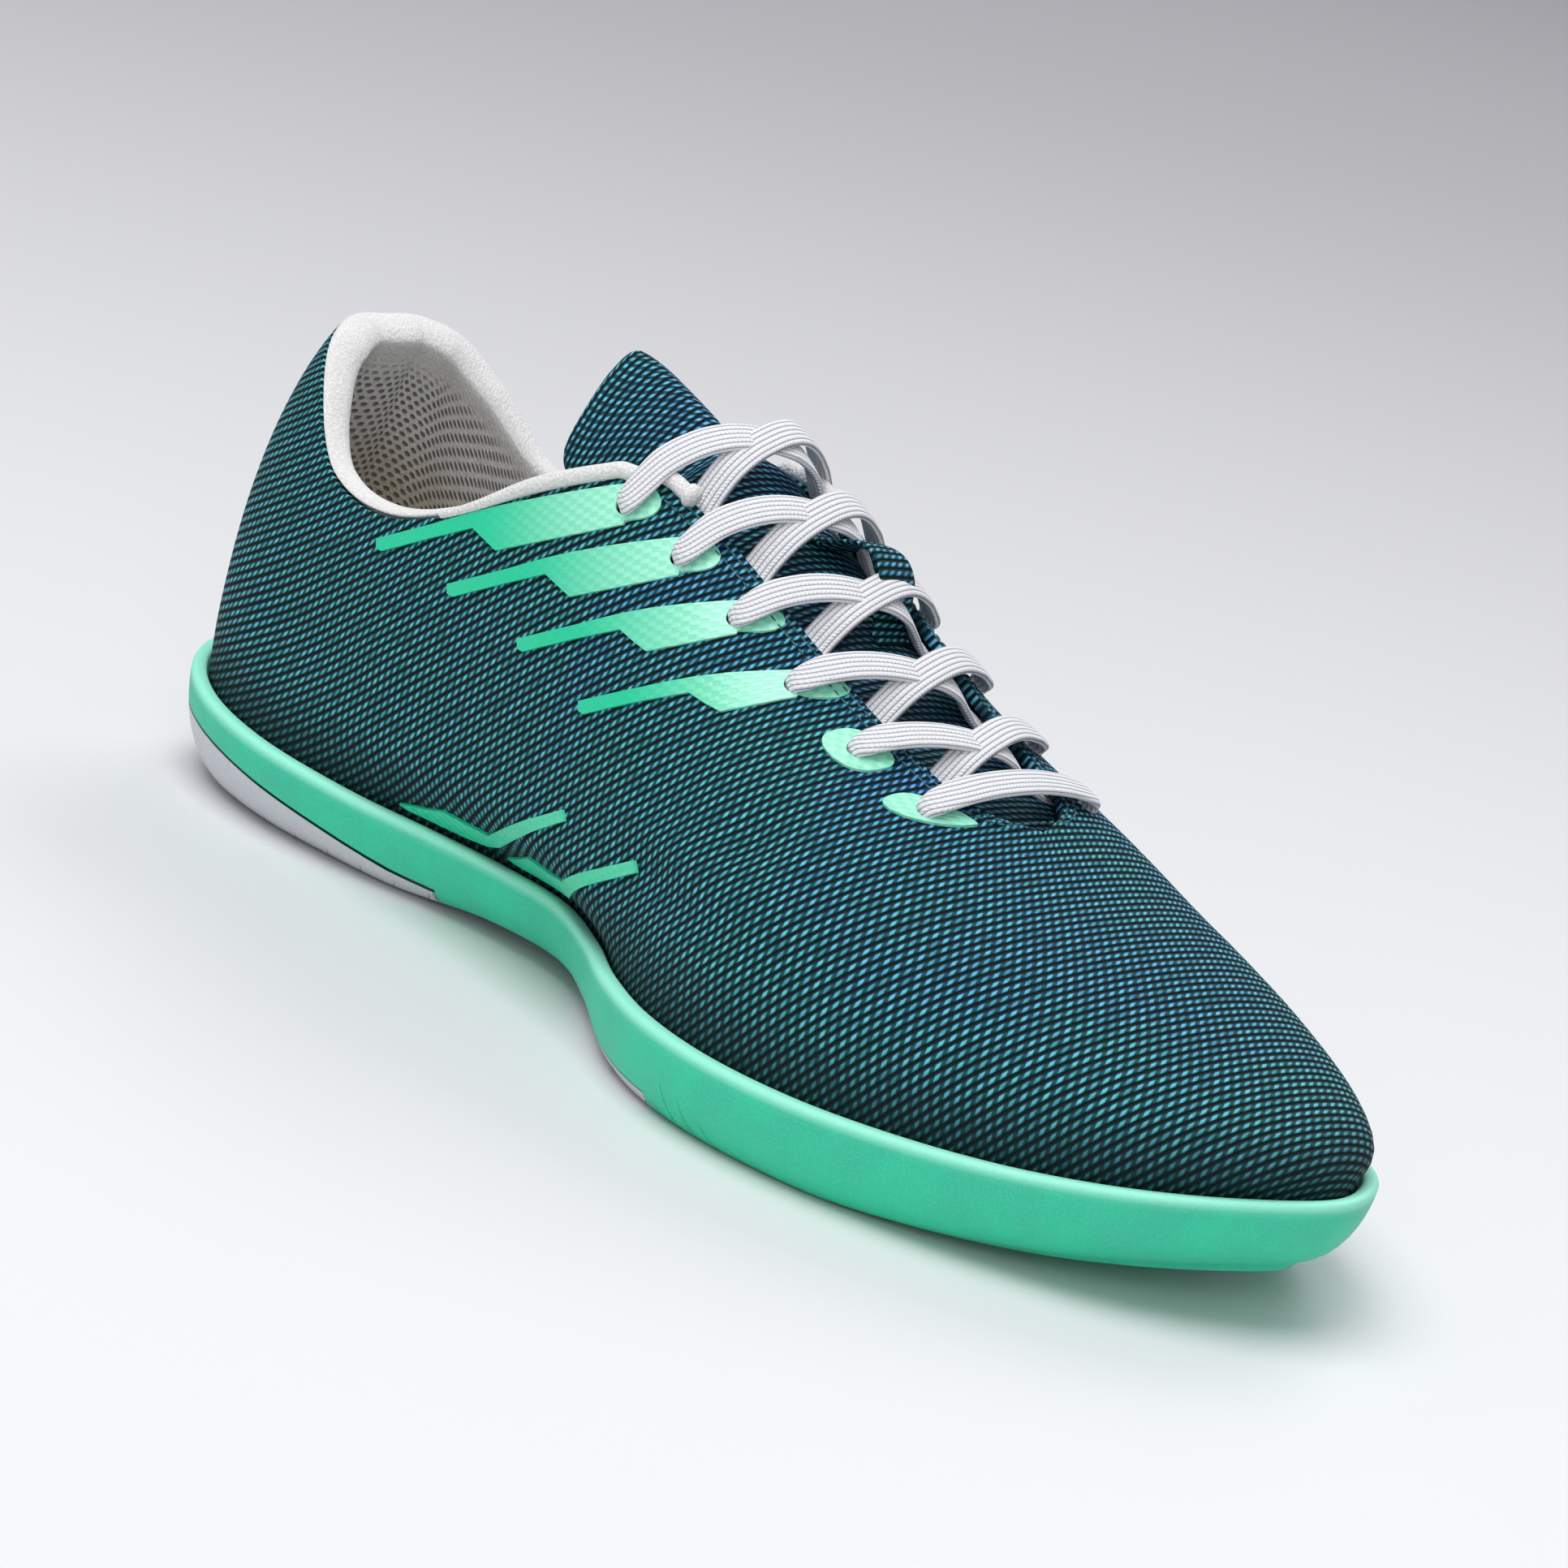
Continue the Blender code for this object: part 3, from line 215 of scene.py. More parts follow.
# Folded and stitched edge of the throat, and the distances down from the upper's edge where
# its rows lie; REST_ROWS rows share the way from the last one down into the cup
FOLD_WIDTH = 0.0042
FOLD_STEP = 0.0008           # width over which the fold falls to the cloth
FOLD_RISE = 0.00045
EDGE_ROWS = (0.0, 0.0006, 0.0013, 0.0022, 0.0029, 0.0034, 0.0038, 0.0042, 0.0050, 0.0062)
REST_ROWS = 34
STITCH_ROWS = (2, 5)
STITCH_PITCH = 0.0021
STITCH_LENGTH = 0.0016
STITCH_THICKNESS = 0.00042
STITCH_LIFT = 0.00005
PIN_LENGTH = 0.010           # of the pins that cut the eyelets
THROAT_MARGIN = 0.012        # share that the stitches and the tongue stay off the collar's corner

# Soft troughs and ridges of the cloth: side, share, height, half length, half height, depth
CREASES = [
    (-1, 0.626, 0.0515, 0.0075, 0.0045, 0.0011),
    (-1, 0.159, 0.0400, 0.0160, 0.0100, 0.0012),
    (-1, 0.250, 0.0440, 0.0120, 0.0045, -0.0005),
    (-1, 0.560, 0.0430, 0.0160, 0.0035, -0.0005),
    (-1, 0.600, 0.0360, 0.0200, 0.0035, 0.0007),
    (1, 0.626, 0.0515, 0.0075, 0.0045, 0.0008),
    (1, 0.170, 0.0400, 0.0150, 0.0090, 0.0009),
    (1, 0.590, 0.0360, 0.0200, 0.0035, 0.0007),
]

# Grooves of the heel pad's inner side, as the tread grooves above
HEEL_GROOVES = [
    (0.030, 0.055, 0.190, 0.0),
    (0.060, 0.062, 0.258, 0.0),
    (0.105, 0.085, 0.288, 0.0),
    (0.150, 0.140, 0.292, 0.0),
    (0.185, 0.190, 0.290, 0.0),
]
HEEL_PITCH = 0.0042

# Lining and piping of the collar
LINING_COLUMNS = 150
LINING_POINTS = 54           # around one section
LINING_EASE = 0.0001         # more room than FIT_GAP beside the upper
PAD_END = 0.20               # share where the padding behind the heel has run out
PAD_FADE = 0.16              # share over which it grows to its full thickness
MESH_TOP = (0.001, 0.006)    # below the edge, where the holes of the mesh begin
MESH_SHADE_DEPTHS = (0.012, 0.034)  # below the edge, where painted shade turns the mesh cream
PIPING_REACH = (0.26, 0.4285)
PIPING_POINTS = 90
PIPING_RADII = (0.0008, 0.0016)  # at its start under the roll, and beside the throat
PIPING_RISE = 0.0004         # above the upper's edge
PIPING_SEAT = 0.0002         # out from the cloth there
NUB_LENGTH = 0.0030
NUB_RADIUS = 0.0023
NUB_LIFT = 0.0003

# Tongue: columns as shares of its half width, then the sections of its free end
TONGUE_COLUMNS = [-1.0, -0.72, -0.38, 0.0, 0.38, 0.72, 1.0]
TONGUE_FREE = [
    # along, height of the middle, half width, droop of the edges, how far the edges sweep forward
    (0.392, 0.1003, 0.0225, 0.0175, 0.0000),
    (0.368, 0.1030, 0.0198, 0.0185, 0.0010),
    (0.344, 0.1053, 0.0190, 0.0192, 0.0022),
    (0.318, 0.1074, 0.0196, 0.0200, 0.0038),
    (0.298, 0.1083, 0.0182, 0.0178, 0.0046),
    (0.292, 0.1078, 0.0140, 0.0130, 0.0040),
]
TONGUE_POINT = 1.35          # of the free end's arch: 2 is round, 1 a tent
TONGUE_HIDDEN = 10           # sections under the laces
TONGUE_AROUND = 60           # points around a section
TONGUE_ALONG = 100

# Loop on the tongue: share of the length and height above the upper's closed form
LOOP_SIDE = 0.0060           # from the middle of the tongue to the loop's
LOOP_WIDTH = 0.0095
LOOP_THICKNESS = 0.0011
LOOP_RUN = [(0.476, -0.0029), (0.484, -0.0022), (0.492, 0.0015), (0.502, 0.0049), (0.514, 0.0062),
            (0.526, 0.0050), (0.536, 0.0015), (0.545, -0.0022), (0.553, -0.0029)]

# Laces: how they leave an eyelet, as places across the throat and along its normal, with the
# band's width and thickness there
LACE_REST = 0.0022           # from the upper's surface to the middle of a lace on it
LACE_BACK = 0.0006           # how far behind the eyelet's centre a lace comes up
LACE_ENTRY = [
    # towards the throat, up, width, thickness
    (-LACE_BACK, -0.0034, 0.0036, 0.0022),
    (-LACE_BACK, -0.0012, 0.0037, 0.0022),
    (0.0003 - LACE_BACK, 0.0008, 0.0043, 0.0021),
    (0.0016, 0.0020, 0.0054, 0.0018),
]
LACE_ADVANCE = 0.62          # share of an eyelet step that a lace moves towards the toe
LACE_TUCK = 0.0024           # how far it ends inside the other edge of the throat
LACE_HUMP = 0.0012           # rise of a lace in the middle of the throat
BAR_HUMP = 0.0008            # the same for the straight lace between the lowest eyelets
LACE_DIVE = 0.0052           # how far it sinks below the other edge
LACE_MAP_SHIFT = 0.013       # so that no two laces show the same piece of braid

# Films on the cloth
FILM_ACROSS = 7              # points across a film
FILM_LIFT = 0.00015          # from the cloth to the level that a film's thickness is set on
FILM_SINK = 0.0003           # from that level down to its underside, into the cloth
HEAD_LENGTH = 0.0050         # reach of a film past its eyelet
HEAD_BEND = 1.3              # radians that a film's head turns along the eyelet line
HEAD_POWER = 2.4             # of the head's rounding: 2 is an ellipse
FILM_STEP = 0.003            # longest stretch between two rows of a film
FLASH_ROWS = 0.007           # the same for a flash, as a share of the length
FILM_FADE = 0.034            # from an eyelet to where its film has its full green
RING_FADE = 0.030
FLASH_FADE = (0.026, 0.036)  # heights between which a flash grows a little paler

# Sole
SOLE_POINTS = 320            # around each ring
WALL_ANGLES = (82, 74, 65, 56, 47, 38, 30, 23, 17, 12, 8, 5)  # degrees: 0 at the rim, 90 at the ground
RIM_TOP = ((0.00005, 0.0010), (0.00025, 0.0005), (0.0006, 0.00018), (0.0011, 0.0), (0.0023, 0.0),
           (0.0027, 0.00012), (RIM_WIDTH, 0.0005))  # rounded top: inset from the outline, drop below the rim
PRISM_HALF = 0.02            # half height of the prisms that cut the ground's pieces
INSET_HOLE = 0.012           # height of the holes for the insets
WING_SECTIONS = 29
WING_PLACES = (-0.9, 6.1)    # ends of the plate's wing, as places on the sole's outline
WING_FADE = (0.36, 0.30)     # share where the wing has run out, and over which it grows
WING_FOOT = 0.6              # share of the plate's thickness that the wing always has
WING_INSIDE = 0.008          # its inner face, in from the sole's outline
WING_OUTSIDE = 0.004         # its outer face, out from it
WING_LOW = -0.015
WING_SLOPE = (0.0026, 0.0025)  # inset and rise of its slanting upper edge
RIM_LIT_BAND = (-0.0026, -0.0006)  # heights from the rim between which painted light turns the green pale
RIDGE_FADE = (0.0030, 0.0012)  # heights above the ground between which the plate's ridges grow
INSOLE_EASE = 0.0006
INSOLE_EDGE = ((0.0, 0.6), (0.0004, 0.9), (0.0012, 1.0))  # draw-in, share of the thickness

# Patterns of the materials, in metres
PLATE_RIDGE = 0.0095
BALL_RIB = 0.0060
HEEL_RIB = 0.0034
DIAMOND_PITCH = 0.0030
MESH_PITCH = 0.0021          # between the lining's holes
MESH_ROW = 0.00155           # between their rows
BRAID_ROW = 0.00105
BRAID_YARN = 0.00082
GRAIN_SCALE = 2600.0         # of the noise on rubber
YARN_SCALE = 1500.0          # of the cells on knit

# Colours, as linear red, green and blue
CLOTH_DARK = (0.0032, 0.0140, 0.0165)
CLOTH_TEAL = (0.006, 0.110, 0.112)
CLOTH_BLUE = (0.006, 0.055, 0.190)
# the next two are painted highlight colours on the cloth's floats
CLOTH_HIGHLIGHT = (0.150, 0.620, 0.720)
CLOTH_BLUE_HIGHLIGHT = (0.150, 0.500, 0.860)
GREEN_SIDE = (0.012, 0.640, 0.365)
# painted light on the rim's top
GREEN_RIM_LIT = (0.330, 0.930, 0.700)
GREEN_MOTTLE = (0.020, 0.560, 0.340)
GREEN_GRAIN = (0.120, 0.780, 0.540)
# painted shade between the insets' ribs
GREEN_GROOVE_SHADE = (0.014, 0.450, 0.270)
GREY_RUBBER = (0.560, 0.580, 0.620)
GREY_GRAIN = (0.640, 0.660, 0.690)
GREY_RIDGE = (0.42, 0.44, 0.48)
FILM_GREEN = (0.004, 0.640, 0.340)
FILM_MINT = (0.400, 0.910, 0.680)
FILM_LINE = (0.020, 0.560, 0.330)
KNIT_WHITE = (0.880, 0.875, 0.860)
# the next three are painted shade: between the knit's yarns, deep inside the shoe, and in the mesh's holes
KNIT_SHADE = (0.760, 0.750, 0.735)
KNIT_DEPTH_SHADE = (0.600, 0.540, 0.410)
KNIT_HOLE_SHADE = (0.115, 0.095, 0.105)
LACE_WHITE = (0.840, 0.845, 0.880)
PIPING_WHITE = (0.90, 0.89, 0.87)
INSOLE_CREAM = (0.70, 0.68, 0.62)
THREAD_TEAL = (0.030, 0.160, 0.180)
FLOOR_NEAR = (0.80, 0.80, 0.81)
FLOOR_FAR = (0.48, 0.475, 0.495)
FLOOR_FLECK = (0.6, 0.6, 0.6)

# Camera at the photograph's angle to the shoe, and the studio
CAMERA_AT = Vector((0.8271, -0.7909, 0.3638))
CAMERA_AIM = Vector((0.106, 0.002, 0.046))
CAMERA_ROLL = 14.2           # degrees
CAMERA_LENS = 142.0          # millimetres
FLOOR_HALF = 30.0
FLOOR_FADE = (-0.25, 1.1)    # distances behind the shoe between which the floor darkens
SKY_COLOUR = (0.92, 0.94, 1.0, 1.0)
SKY_POWER = 0.40
LIGHTS = [
    # name, place, width, power
    ("key", Vector((0.00, -0.45, 1.60)), 1.2, 20.0),
    ("front", Vector((1.20, -1.30, 0.90)), 1.0, 6.0),
    ("back", Vector((-0.30, 1.20, 1.20)), 0.9, 7.0),
]


def smooth(rows, share, column=1):
    """Cubic curve through one column of a table, at a share of the length."""
    xs = [row[0] for row in rows]
    share = min(max(share, xs[0]), xs[-1])
    i = max(k for k in range(len(xs) - 1) if xs[k] <= share)

    def slope(k):
        low, high = max(k - 1, 0), min(k + 1, len(xs) - 1)
        return (rows[high][column] - rows[low][column]) / (xs[high] - xs[low])

    span = xs[i + 1] - xs[i]
    t = (share - xs[i]) / span
    return ((2 * t**3 - 3 * t**2 + 1) * rows[i][column] + (t**3 - 2 * t**2 + t) * span * slope(i)
            + (3 * t**2 - 2 * t**3) * rows[i + 1][column] + (t**3 - t**2) * span * slope(i + 1))


def between(low, high, value):
    """0 below low, 1 above high, an even S between."""
    t = min(max((value - low) / (high - low), 0.0), 1.0)
    return t * t * (3 - 2 * t)


def at_share(share):
    return share * SHOE_LENGTH - HEEL_SEAT


def share_of(x):
    return (x + HEEL_SEAT) / SHOE_LENGTH


@lru_cache(maxsize=None)
def height(column, x):
    return max(smooth(PROFILE, share_of(x), column), 0.0)


@lru_cache(maxsize=None)
def spine_y(x):
    return smooth(SPINE, share_of(x))


class PlanCurve:
    """Closed curve through a plan table; place 0 is the heel, HALF the toe, lateral side first."""

    def __init__(self, lateral, medial, tips):
        heel, toe = tips
        rows = [heel] + [(row[0], -row[lateral]) for row in PLAN]
        rows += [toe] + [(row[0], row[medial]) for row in reversed(PLAN)]
        self.points = np.array([(at_share(s), y * BALL_WIDTH) for s, y in rows])
        self.known = {}

    def at(self, place):
        found = self.known.get(place)
        if found is None:
            found = self.known[place] = self.work_out(place)
        return found

    def work_out(self, place):
        count = len(self.points)
        i = math.floor(place)
        t = place - i
        p0, p1, p2, p3 = (self.points[(i + k) % count] for k in (-1, 0, 1, 2))
        d0, d1, d2 = (np.linalg.norm(b - a) ** 0.5 for a, b in ((p0, p1), (p1, p2), (p2, p3)))
        m1 = d1 * ((p1 - p0) / d0 - (p2 - p0) / (d0 + d1) + (p2 - p1) / d1)
        m2 = d1 * ((p2 - p1) / d1 - (p3 - p1) / (d1 + d2) + (p3 - p2) / d2)
        return ((2 * t**3 - 3 * t**2 + 1) * p1 + (t**3 - 2 * t**2 + t) * m1
                + (3 * t**2 - 2 * t**3) * p2 + (t**3 - t**2) * m2)

    def inward(self, place):
        tangent = self.at(place + 0.02) - self.at(place - 0.02)
        return np.array((-tangent[1], tangent[0])) / np.linalg.norm(tangent)

    def inset(self, place, distance):
        return self.at(place) + distance * self.inward(place)


SOLE_PLAN = PlanCurve(1, 2, SOLE_TIPS)
UPPER_PLAN = PlanCurve(3, 4, UPPER_TIPS)
HALF = len(PLAN) + 1         # place of the toe
FULL = 2 * HALF
HALVINGS = 26                # steps of each search by halves


def search(low, high, too_low):
    """The value between low and high where too_low turns false, found by halves."""
    for _ in range(HALVINGS):
        middle = (low + high) / 2
        if too_low(middle):
            low = middle
        else:
            high = middle
    return low


@lru_cache(maxsize=None)
def place_of(share, side):
    """Place on the upper's plan curve at a share of the length; side is -1 lateral, 1 medial."""
    def behind(middle):
        return share_of(UPPER_PLAN.at(middle if side < 0 else FULL - middle)[0]) < share

    found = search(0.0, float(HALF), behind)
    return found if side < 0 else FULL - found


def throat_half(x):
    """Half width of the throat, with a round end at its base."""
    start, end = at_share(COLLAR_FRONT), at_share(THROAT_BASE)
    t = min(max((x - start) / (end - start), 0.0), 1.0)
    half = THROAT_HALF_TOP + t * (THROAT_HALF_BASE - THROAT_HALF_TOP)
    left = end - x
    if left <= 0:
        return 0.0
    if left < THROAT_HALF_BASE:
        return half * math.sqrt(1 - (1 - left / THROAT_HALF_BASE) ** 2)
    return half


def arch(place, angle):
    """Point of the upper's outer surface above its widest line; angle runs from 0 to 90 degrees."""
    wide = UPPER_PLAN.at(place)
    x_foot = at_share(min(max(share_of(wide[0]), HEEL_POLE), TOE_POLE))
    power = 2 / SECTION_POWER
    inward = 1 - max(math.cos(angle), 0.0) ** power
    x = wide[0] + (x_foot - wide[0]) * inward
    y = wide[1] + (spine_y(x_foot) - wide[1]) * inward
    base = height(WIDEST, wide[0])
    return np.array((x, y, base + (height(RIDGE, x) - base) * math.sin(angle) ** power))


def beyond_edge(place, point):
    """Positive where a point of the arch lies in the collar's or the throat's opening."""
    share = share_of(UPPER_PLAN.at(place)[0])
    over_collar = point[2] - smooth(TOPLINE, share)
    if share < COLLAR_BACK:
        return over_collar
    return max(over_collar, throat_half(point[0]) - abs(point[1] - spine_y(point[0])))


@lru_cache(maxsize=None)
def edge_angle(place):
    """Angle at which a section of the upper stops: at the topline, the throat or the ridge."""
    top = math.pi / 2
    if beyond_edge(place, arch(place, top)) <= 1e-6:
        return top
    return search(0.0, top, lambda middle: beyond_edge(place, arch(place, middle)) <= 0)


def flare(place, t):
    """Outer surface between the cup's rim and the widest line; t runs from 0 to 1."""
    wide = UPPER_PLAN.at(place)
    foot = SOLE_PLAN.inset(place, RIM_WIDTH + FIT_GAP)
    low = height(RIM, foot[0]) + RIM_STEP
    flat = foot + (wide - foot) * math.sin(t * math.pi / 2)
    return np.array((flat[0], flat[1], low + (height(WIDEST, wide[0]) - low) * t))


def upper_base(place):
    foot = SOLE_PLAN.inset(place, RIM_WIDTH + RIM_TUCK + FIT_GAP)
    return np.array((foot[0], foot[1], height(FOOTBED, foot[0]) + FIT_GAP))


@lru_cache(maxsize=None)
def roof(x, y):
    """Height of the upper's outer surface over a plan point, as if the throat were closed."""
    place = place_of(share_of(x), -1 if y < spine_y(x) else 1)
    target = abs(y - spine_y(x))

    def outside(angle):
        point = arch(place, angle)
        return abs(point[1] - spine_y(point[0])) > target

    return arch(place, search(0.0, math.pi / 2, outside))[2]


@lru_cache(maxsize=None)
def roof_normal(x, y):
    step = 0.001
    slope_x = (roof(x + step, y) - roof(x - step, y)) / (2 * step)
    slope_y = (roof(x, y + step) - roof(x, y - step)) / (2 * step)
    return Vector((-slope_x, -slope_y, 1.0)).normalized()


def side_point(side, share, z):
    """Point of the upper's outer surface at a share of the length and a height."""
    place = place_of(share, side)
    base = height(WIDEST, UPPER_PLAN.at(place)[0])
    if z < base:
        low = flare(place, 0.0)[2]
        return flare(place, min(max((z - low) / (base - low), 0.0), 1.0))
    return arch(place, search(0.0, math.pi / 2, lambda angle: arch(place, angle)[2] < z))


@lru_cache(maxsize=None)
def eyelet(side, share):
    """Centre and outward normal of an eyelet, at its setback from the throat's edge."""
    x = at_share(share)
    y = spine_y(x) + side * throat_half(x)
    walked = 0.0
    step = 0.0002
    while walked < EYELET_SETBACK:
        ahead = y + side * step
        walked += math.hypot(step, roof(x, ahead) - roof(x, y))
        y = ahead
    return Vector((x, y, roof(x, y))), roof_normal(x, y)


def skin(place, v):
    """Outer surface of the upper: v is 0 at the rim, WIDEST_V on the widest line, 1 on the ridge."""
    if v < WIDEST_V:
        return Vector(flare(place, v / WIDEST_V))
    return Vector(arch(place, (v - WIDEST_V) / (1 - WIDEST_V) * math.pi / 2))


def skin_frame(place, v):
    """Point, upward tangent and outward normal of the upper's outer surface."""
    step = 0.004
    along = skin(place + 0.02, v) - skin(place - 0.02, v)
    upward = skin(place, min(v + step, 1.0)) - skin(place, max(v - step, 0.0))
    return skin(place, v), upward.normalized(), along.cross(upward).normalized()


def edge_v(place):
    return WIDEST_V + (1 - WIDEST_V) * edge_angle(place) / (math.pi / 2)


def spline(points, count, closed=False):
    """Evenly numbered points on a smooth curve through a list of points."""
    pts = np.array([tuple(p) for p in points], dtype=float)
    last = len(pts) if closed else len(pts) - 1
    result = []
    for t in np.linspace(0.0, last, count, endpoint=not closed):
        i = min(int(t), last - 1)
        f = t - i
        if closed:
            p0, p1, p2, p3 = (pts[(i + k) % len(pts)] for k in (-1, 0, 1, 2))
        else:
            p0, p1, p2, p3 = (pts[min(max(i + k, 0), len(pts) - 1)] for k in (-1, 0, 1, 2))
        result.append(0.5 * (2 * p1 + (p2 - p0) * f + (2 * p0 - 5 * p1 + 4 * p2 - p3) * f**2
                             + (3 * p1 - p0 - 3 * p2 + p3) * f**3))
    return result


def lengths(points):
    """Distance along a run of points, from its first point."""
    pts = np.array([tuple(p) for p in points], dtype=float)
    steps = np.linalg.norm(np.diff(pts, axis=0), axis=1)
    return np.concatenate(([0.0], np.cumsum(steps)))


def sheet_mesh(name, rows, closed=False, uvs=None):
    """Mesh over rows of points; uvs holds a row of (u, v) for each row of points."""
    mesh = bpy.data.meshes.new(name)
    count = len(rows[0])
    points = [tuple(p) for row in rows for p in row]
    around = count if closed else count - 1
    faces = [(r * count + i, r * count + (i + 1) % count, (r + 1) * count + (i + 1) % count,
              (r + 1) * count + i) for r in range(len(rows) - 1) for i in range(around)]
    mesh.from_pydata(points, [], faces)
    if uvs is not None:
        layer = mesh.uv_layers.new(name="cloth")
        flat = np.array([pair for row in uvs for pair in row], dtype=float)
        corners = np.zeros(len(mesh.loops), dtype=int)
        mesh.loops.foreach_get("vertex_index", corners)
        layer.data.foreach_set("uv", flat[corners].ravel())
    return mesh


def welded(mesh, distance=0.00002):
    """Merge points that meet, drop faces without area and turn the rest outwards."""
    form = bmesh.new()
    form.from_mesh(mesh)
    bmesh.ops.remove_doubles(form, verts=form.verts, dist=distance)
    bmesh.ops.dissolve_degenerate(form, dist=distance / 10, edges=form.edges)
    bmesh.ops.recalc_face_normals(form, faces=form.faces)
    form.to_mesh(mesh)
    form.free()
    return mesh


def cap_ends(mesh, count, rows):
    """Close the two open ends of a tube of rows with count points each, by fans."""
    form = bmesh.new()
    form.from_mesh(mesh)
    form.verts.ensure_lookup_table()
    rings = [[form.verts[row * count + i] for i in range(count)] for row in (0, rows - 1)]
    for ring in rings:
        middle = form.verts.new(sum((v.co for v in ring), Vector()) / count)
        for i in range(count):
            form.faces.new((ring[i], ring[(i + 1) % count], middle))
    form.to_mesh(mesh)
    form.free()
    return mesh


def tube_mesh(name, sections, uvs=None):
    """Closed body through a run of closed sections."""
    mesh = sheet_mesh(name, sections, closed=True, uvs=uvs)
    return welded(cap_ends(mesh, len(sections[0]), len(sections)))


def new_object(name, mesh, finish, sharp=40):
    mesh.materials.clear()
    mesh.materials.append(finish)
    mesh.shade_smooth()
    mesh.set_sharp_from_angle(angle=math.radians(sharp))
    thing = bpy.data.objects.new(name, mesh)
    bpy.context.scene.collection.objects.link(thing)
    return thing


def settled(thing):
    """Turn a piece with modifiers into a plain mesh."""
    bpy.context.view_layer.update()
    depsgraph = bpy.context.evaluated_depsgraph_get()
    mesh = bpy.data.meshes.new_from_object(thing.evaluated_get(depsgraph))
    thing.modifiers.clear()
    if thing.type == "MESH":
        thing.data = mesh
        return thing
    solid = bpy.data.objects.new(thing.name, mesh)
    bpy.context.scene.collection.objects.link(solid)
    bpy.data.objects.remove(thing, do_unlink=True)
    return solid


def piece(thing, slot, *nodes):
    """Attach a finished piece to the root body and hide the nodes that it stands for; the slot argument is
    not used.
    """
    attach(thing, "root")
    if nodes:
        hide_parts(*nodes)
    return thing


def boolean(thing, mesh, operation="DIFFERENCE"):
    """Cut a piece with a mesh, or keep what both fill."""
    other = bpy.data.objects.new("cutter", mesh)
    bpy.context.scene.collection.objects.link(other)
    cut = thing.modifiers.new("cut", "BOOLEAN")
    cut.operation = operation
    cut.solver = "EXACT"
    cut.object = other
    settled(thing)
    bpy.data.objects.remove(other, do_unlink=True)


class Finish:
    """A material under construction; its methods add nodes and return their output sockets."""

    def __init__(self, name, roughness=0.6, **settings):
        self.material = bpy.data.materials.new(name)
        self.material.use_nodes = True
        self.nodes = self.material.node_tree.nodes
        self.links = self.material.node_tree.links
        self.shader = self.nodes["Principled BSDF"]
        self.shader.inputs["Roughness"].default_value = roughness
        for key, value in settings.items():
            self.shader.inputs[key.replace("_", " ")].default_value = value

    def put(self, socket, value):
        if isinstance(value, bpy.types.NodeSocket):
            self.links.new(value, socket)
        elif isinstance(value, tuple) and len(value) == 3 and socket.type == "RGBA":
            socket.default_value = (*value, 1.0)
        else:
            socket.default_value = value

    def math(self, operation, a, b=0.0, c=0.0):
        node = self.nodes.new("ShaderNodeMath")
        node.operation = operation
        for socket, value in zip(node.inputs, (a, b, c)):
            self.put(socket, value)
        return node.outputs[0]

    def step(self, value, low, high, to_low=0.0, to_high=1.0):
        """Smooth step of a value between two limits."""
        node = self.nodes.new("ShaderNodeMapRange")
        node.interpolation_type = "SMOOTHSTEP"
        for key, entry in zip(("Value", "From Min", "From Max", "To Min", "To Max"),
                              (value, low, high, to_low, to_high)):
            self.put(node.inputs[key], entry)
        return node.outputs["Result"]

    def mix(self, amount, a, b, blend="MIX"):
        node = self.nodes.new("ShaderNodeMix")
        node.data_type = "RGBA"
        node.blend_type = blend
        self.put(node.inputs[0], amount)
        self.put(node.inputs[6], a)
        self.put(node.inputs[7], b)
        return node.outputs[2]

    def cloth(self):
        """The two lengths of the piece's own map, in metres."""
        node = self.nodes.new("ShaderNodeUVMap")
        node.uv_map = "cloth"
        split = self.nodes.new("ShaderNodeSeparateXYZ")
        self.links.new(node.outputs[0], split.inputs[0])
        return split.outputs[0], split.outputs[1], node.outputs[0]

    def place(self):
        node = self.nodes.new("ShaderNodeTexCoord")
        return node.outputs["Object"]

    def slant(self, slope):
        """Length along the shoe, plus a share of the way across it."""
        split = self.nodes.new("ShaderNodeSeparateXYZ")
        self.links.new(self.place(), split.inputs[0])
        return self.math("ADD", split.outputs[0], self.math("MULTIPLY", split.outputs[1], slope))

    def rows(self, value, pitch):
        """Number of the row that a length falls in, and the way from the row's middle."""
        row = self.math("DIVIDE", value, pitch)
        number = self.math("FLOOR", row)
        return number, self.math("SUBTRACT", self.math("SUBTRACT", row, number), 0.5)

    def swing(self, value):
        """0 to 1 and back with each whole step of a value."""
        turn = self.math("COSINE", self.math("MULTIPLY", value, 2 * math.pi))
        return self.math("MULTIPLY_ADD", turn, 0.5, 0.5)

    def attribute(self, name):
        node = self.nodes.new("ShaderNodeAttribute")
        node.attribute_name = name
        return node.outputs["Fac"]

    def noise(self, vector, scale, detail=3.0, roughness=0.55):
        node = self.nodes.new("ShaderNodeTexNoise")
        self.put(node.inputs["Vector"], vector)
        self.put(node.inputs["Scale"], scale)
        self.put(node.inputs["Detail"], detail)
        self.put(node.inputs["Roughness"], roughness)
        return node.outputs["Fac"]

    def cells(self, vector, scale):
        node = self.nodes.new("ShaderNodeTexVoronoi")
        self.put(node.inputs["Vector"], vector)
        self.put(node.inputs["Scale"], scale)
        return node.outputs["Distance"]

    def bump(self, height_value, distance, strength=1.0, before=None):
        node = self.nodes.new("ShaderNodeBump")
        self.put(node.inputs["Strength"], strength)
        self.put(node.inputs["Distance"], distance)
        self.put(node.inputs["Height"], height_value)
        if before is not None:
            self.links.new(before, node.inputs["Normal"])
        return node.outputs[0]

    def done(self, colour=None, roughness=None, normal=None):
        for key, value in (("Base Color", colour), ("Roughness", roughness), ("Normal", normal)):
            if value is not None:
                self.put(self.shader.inputs[key], value)
        return self.material


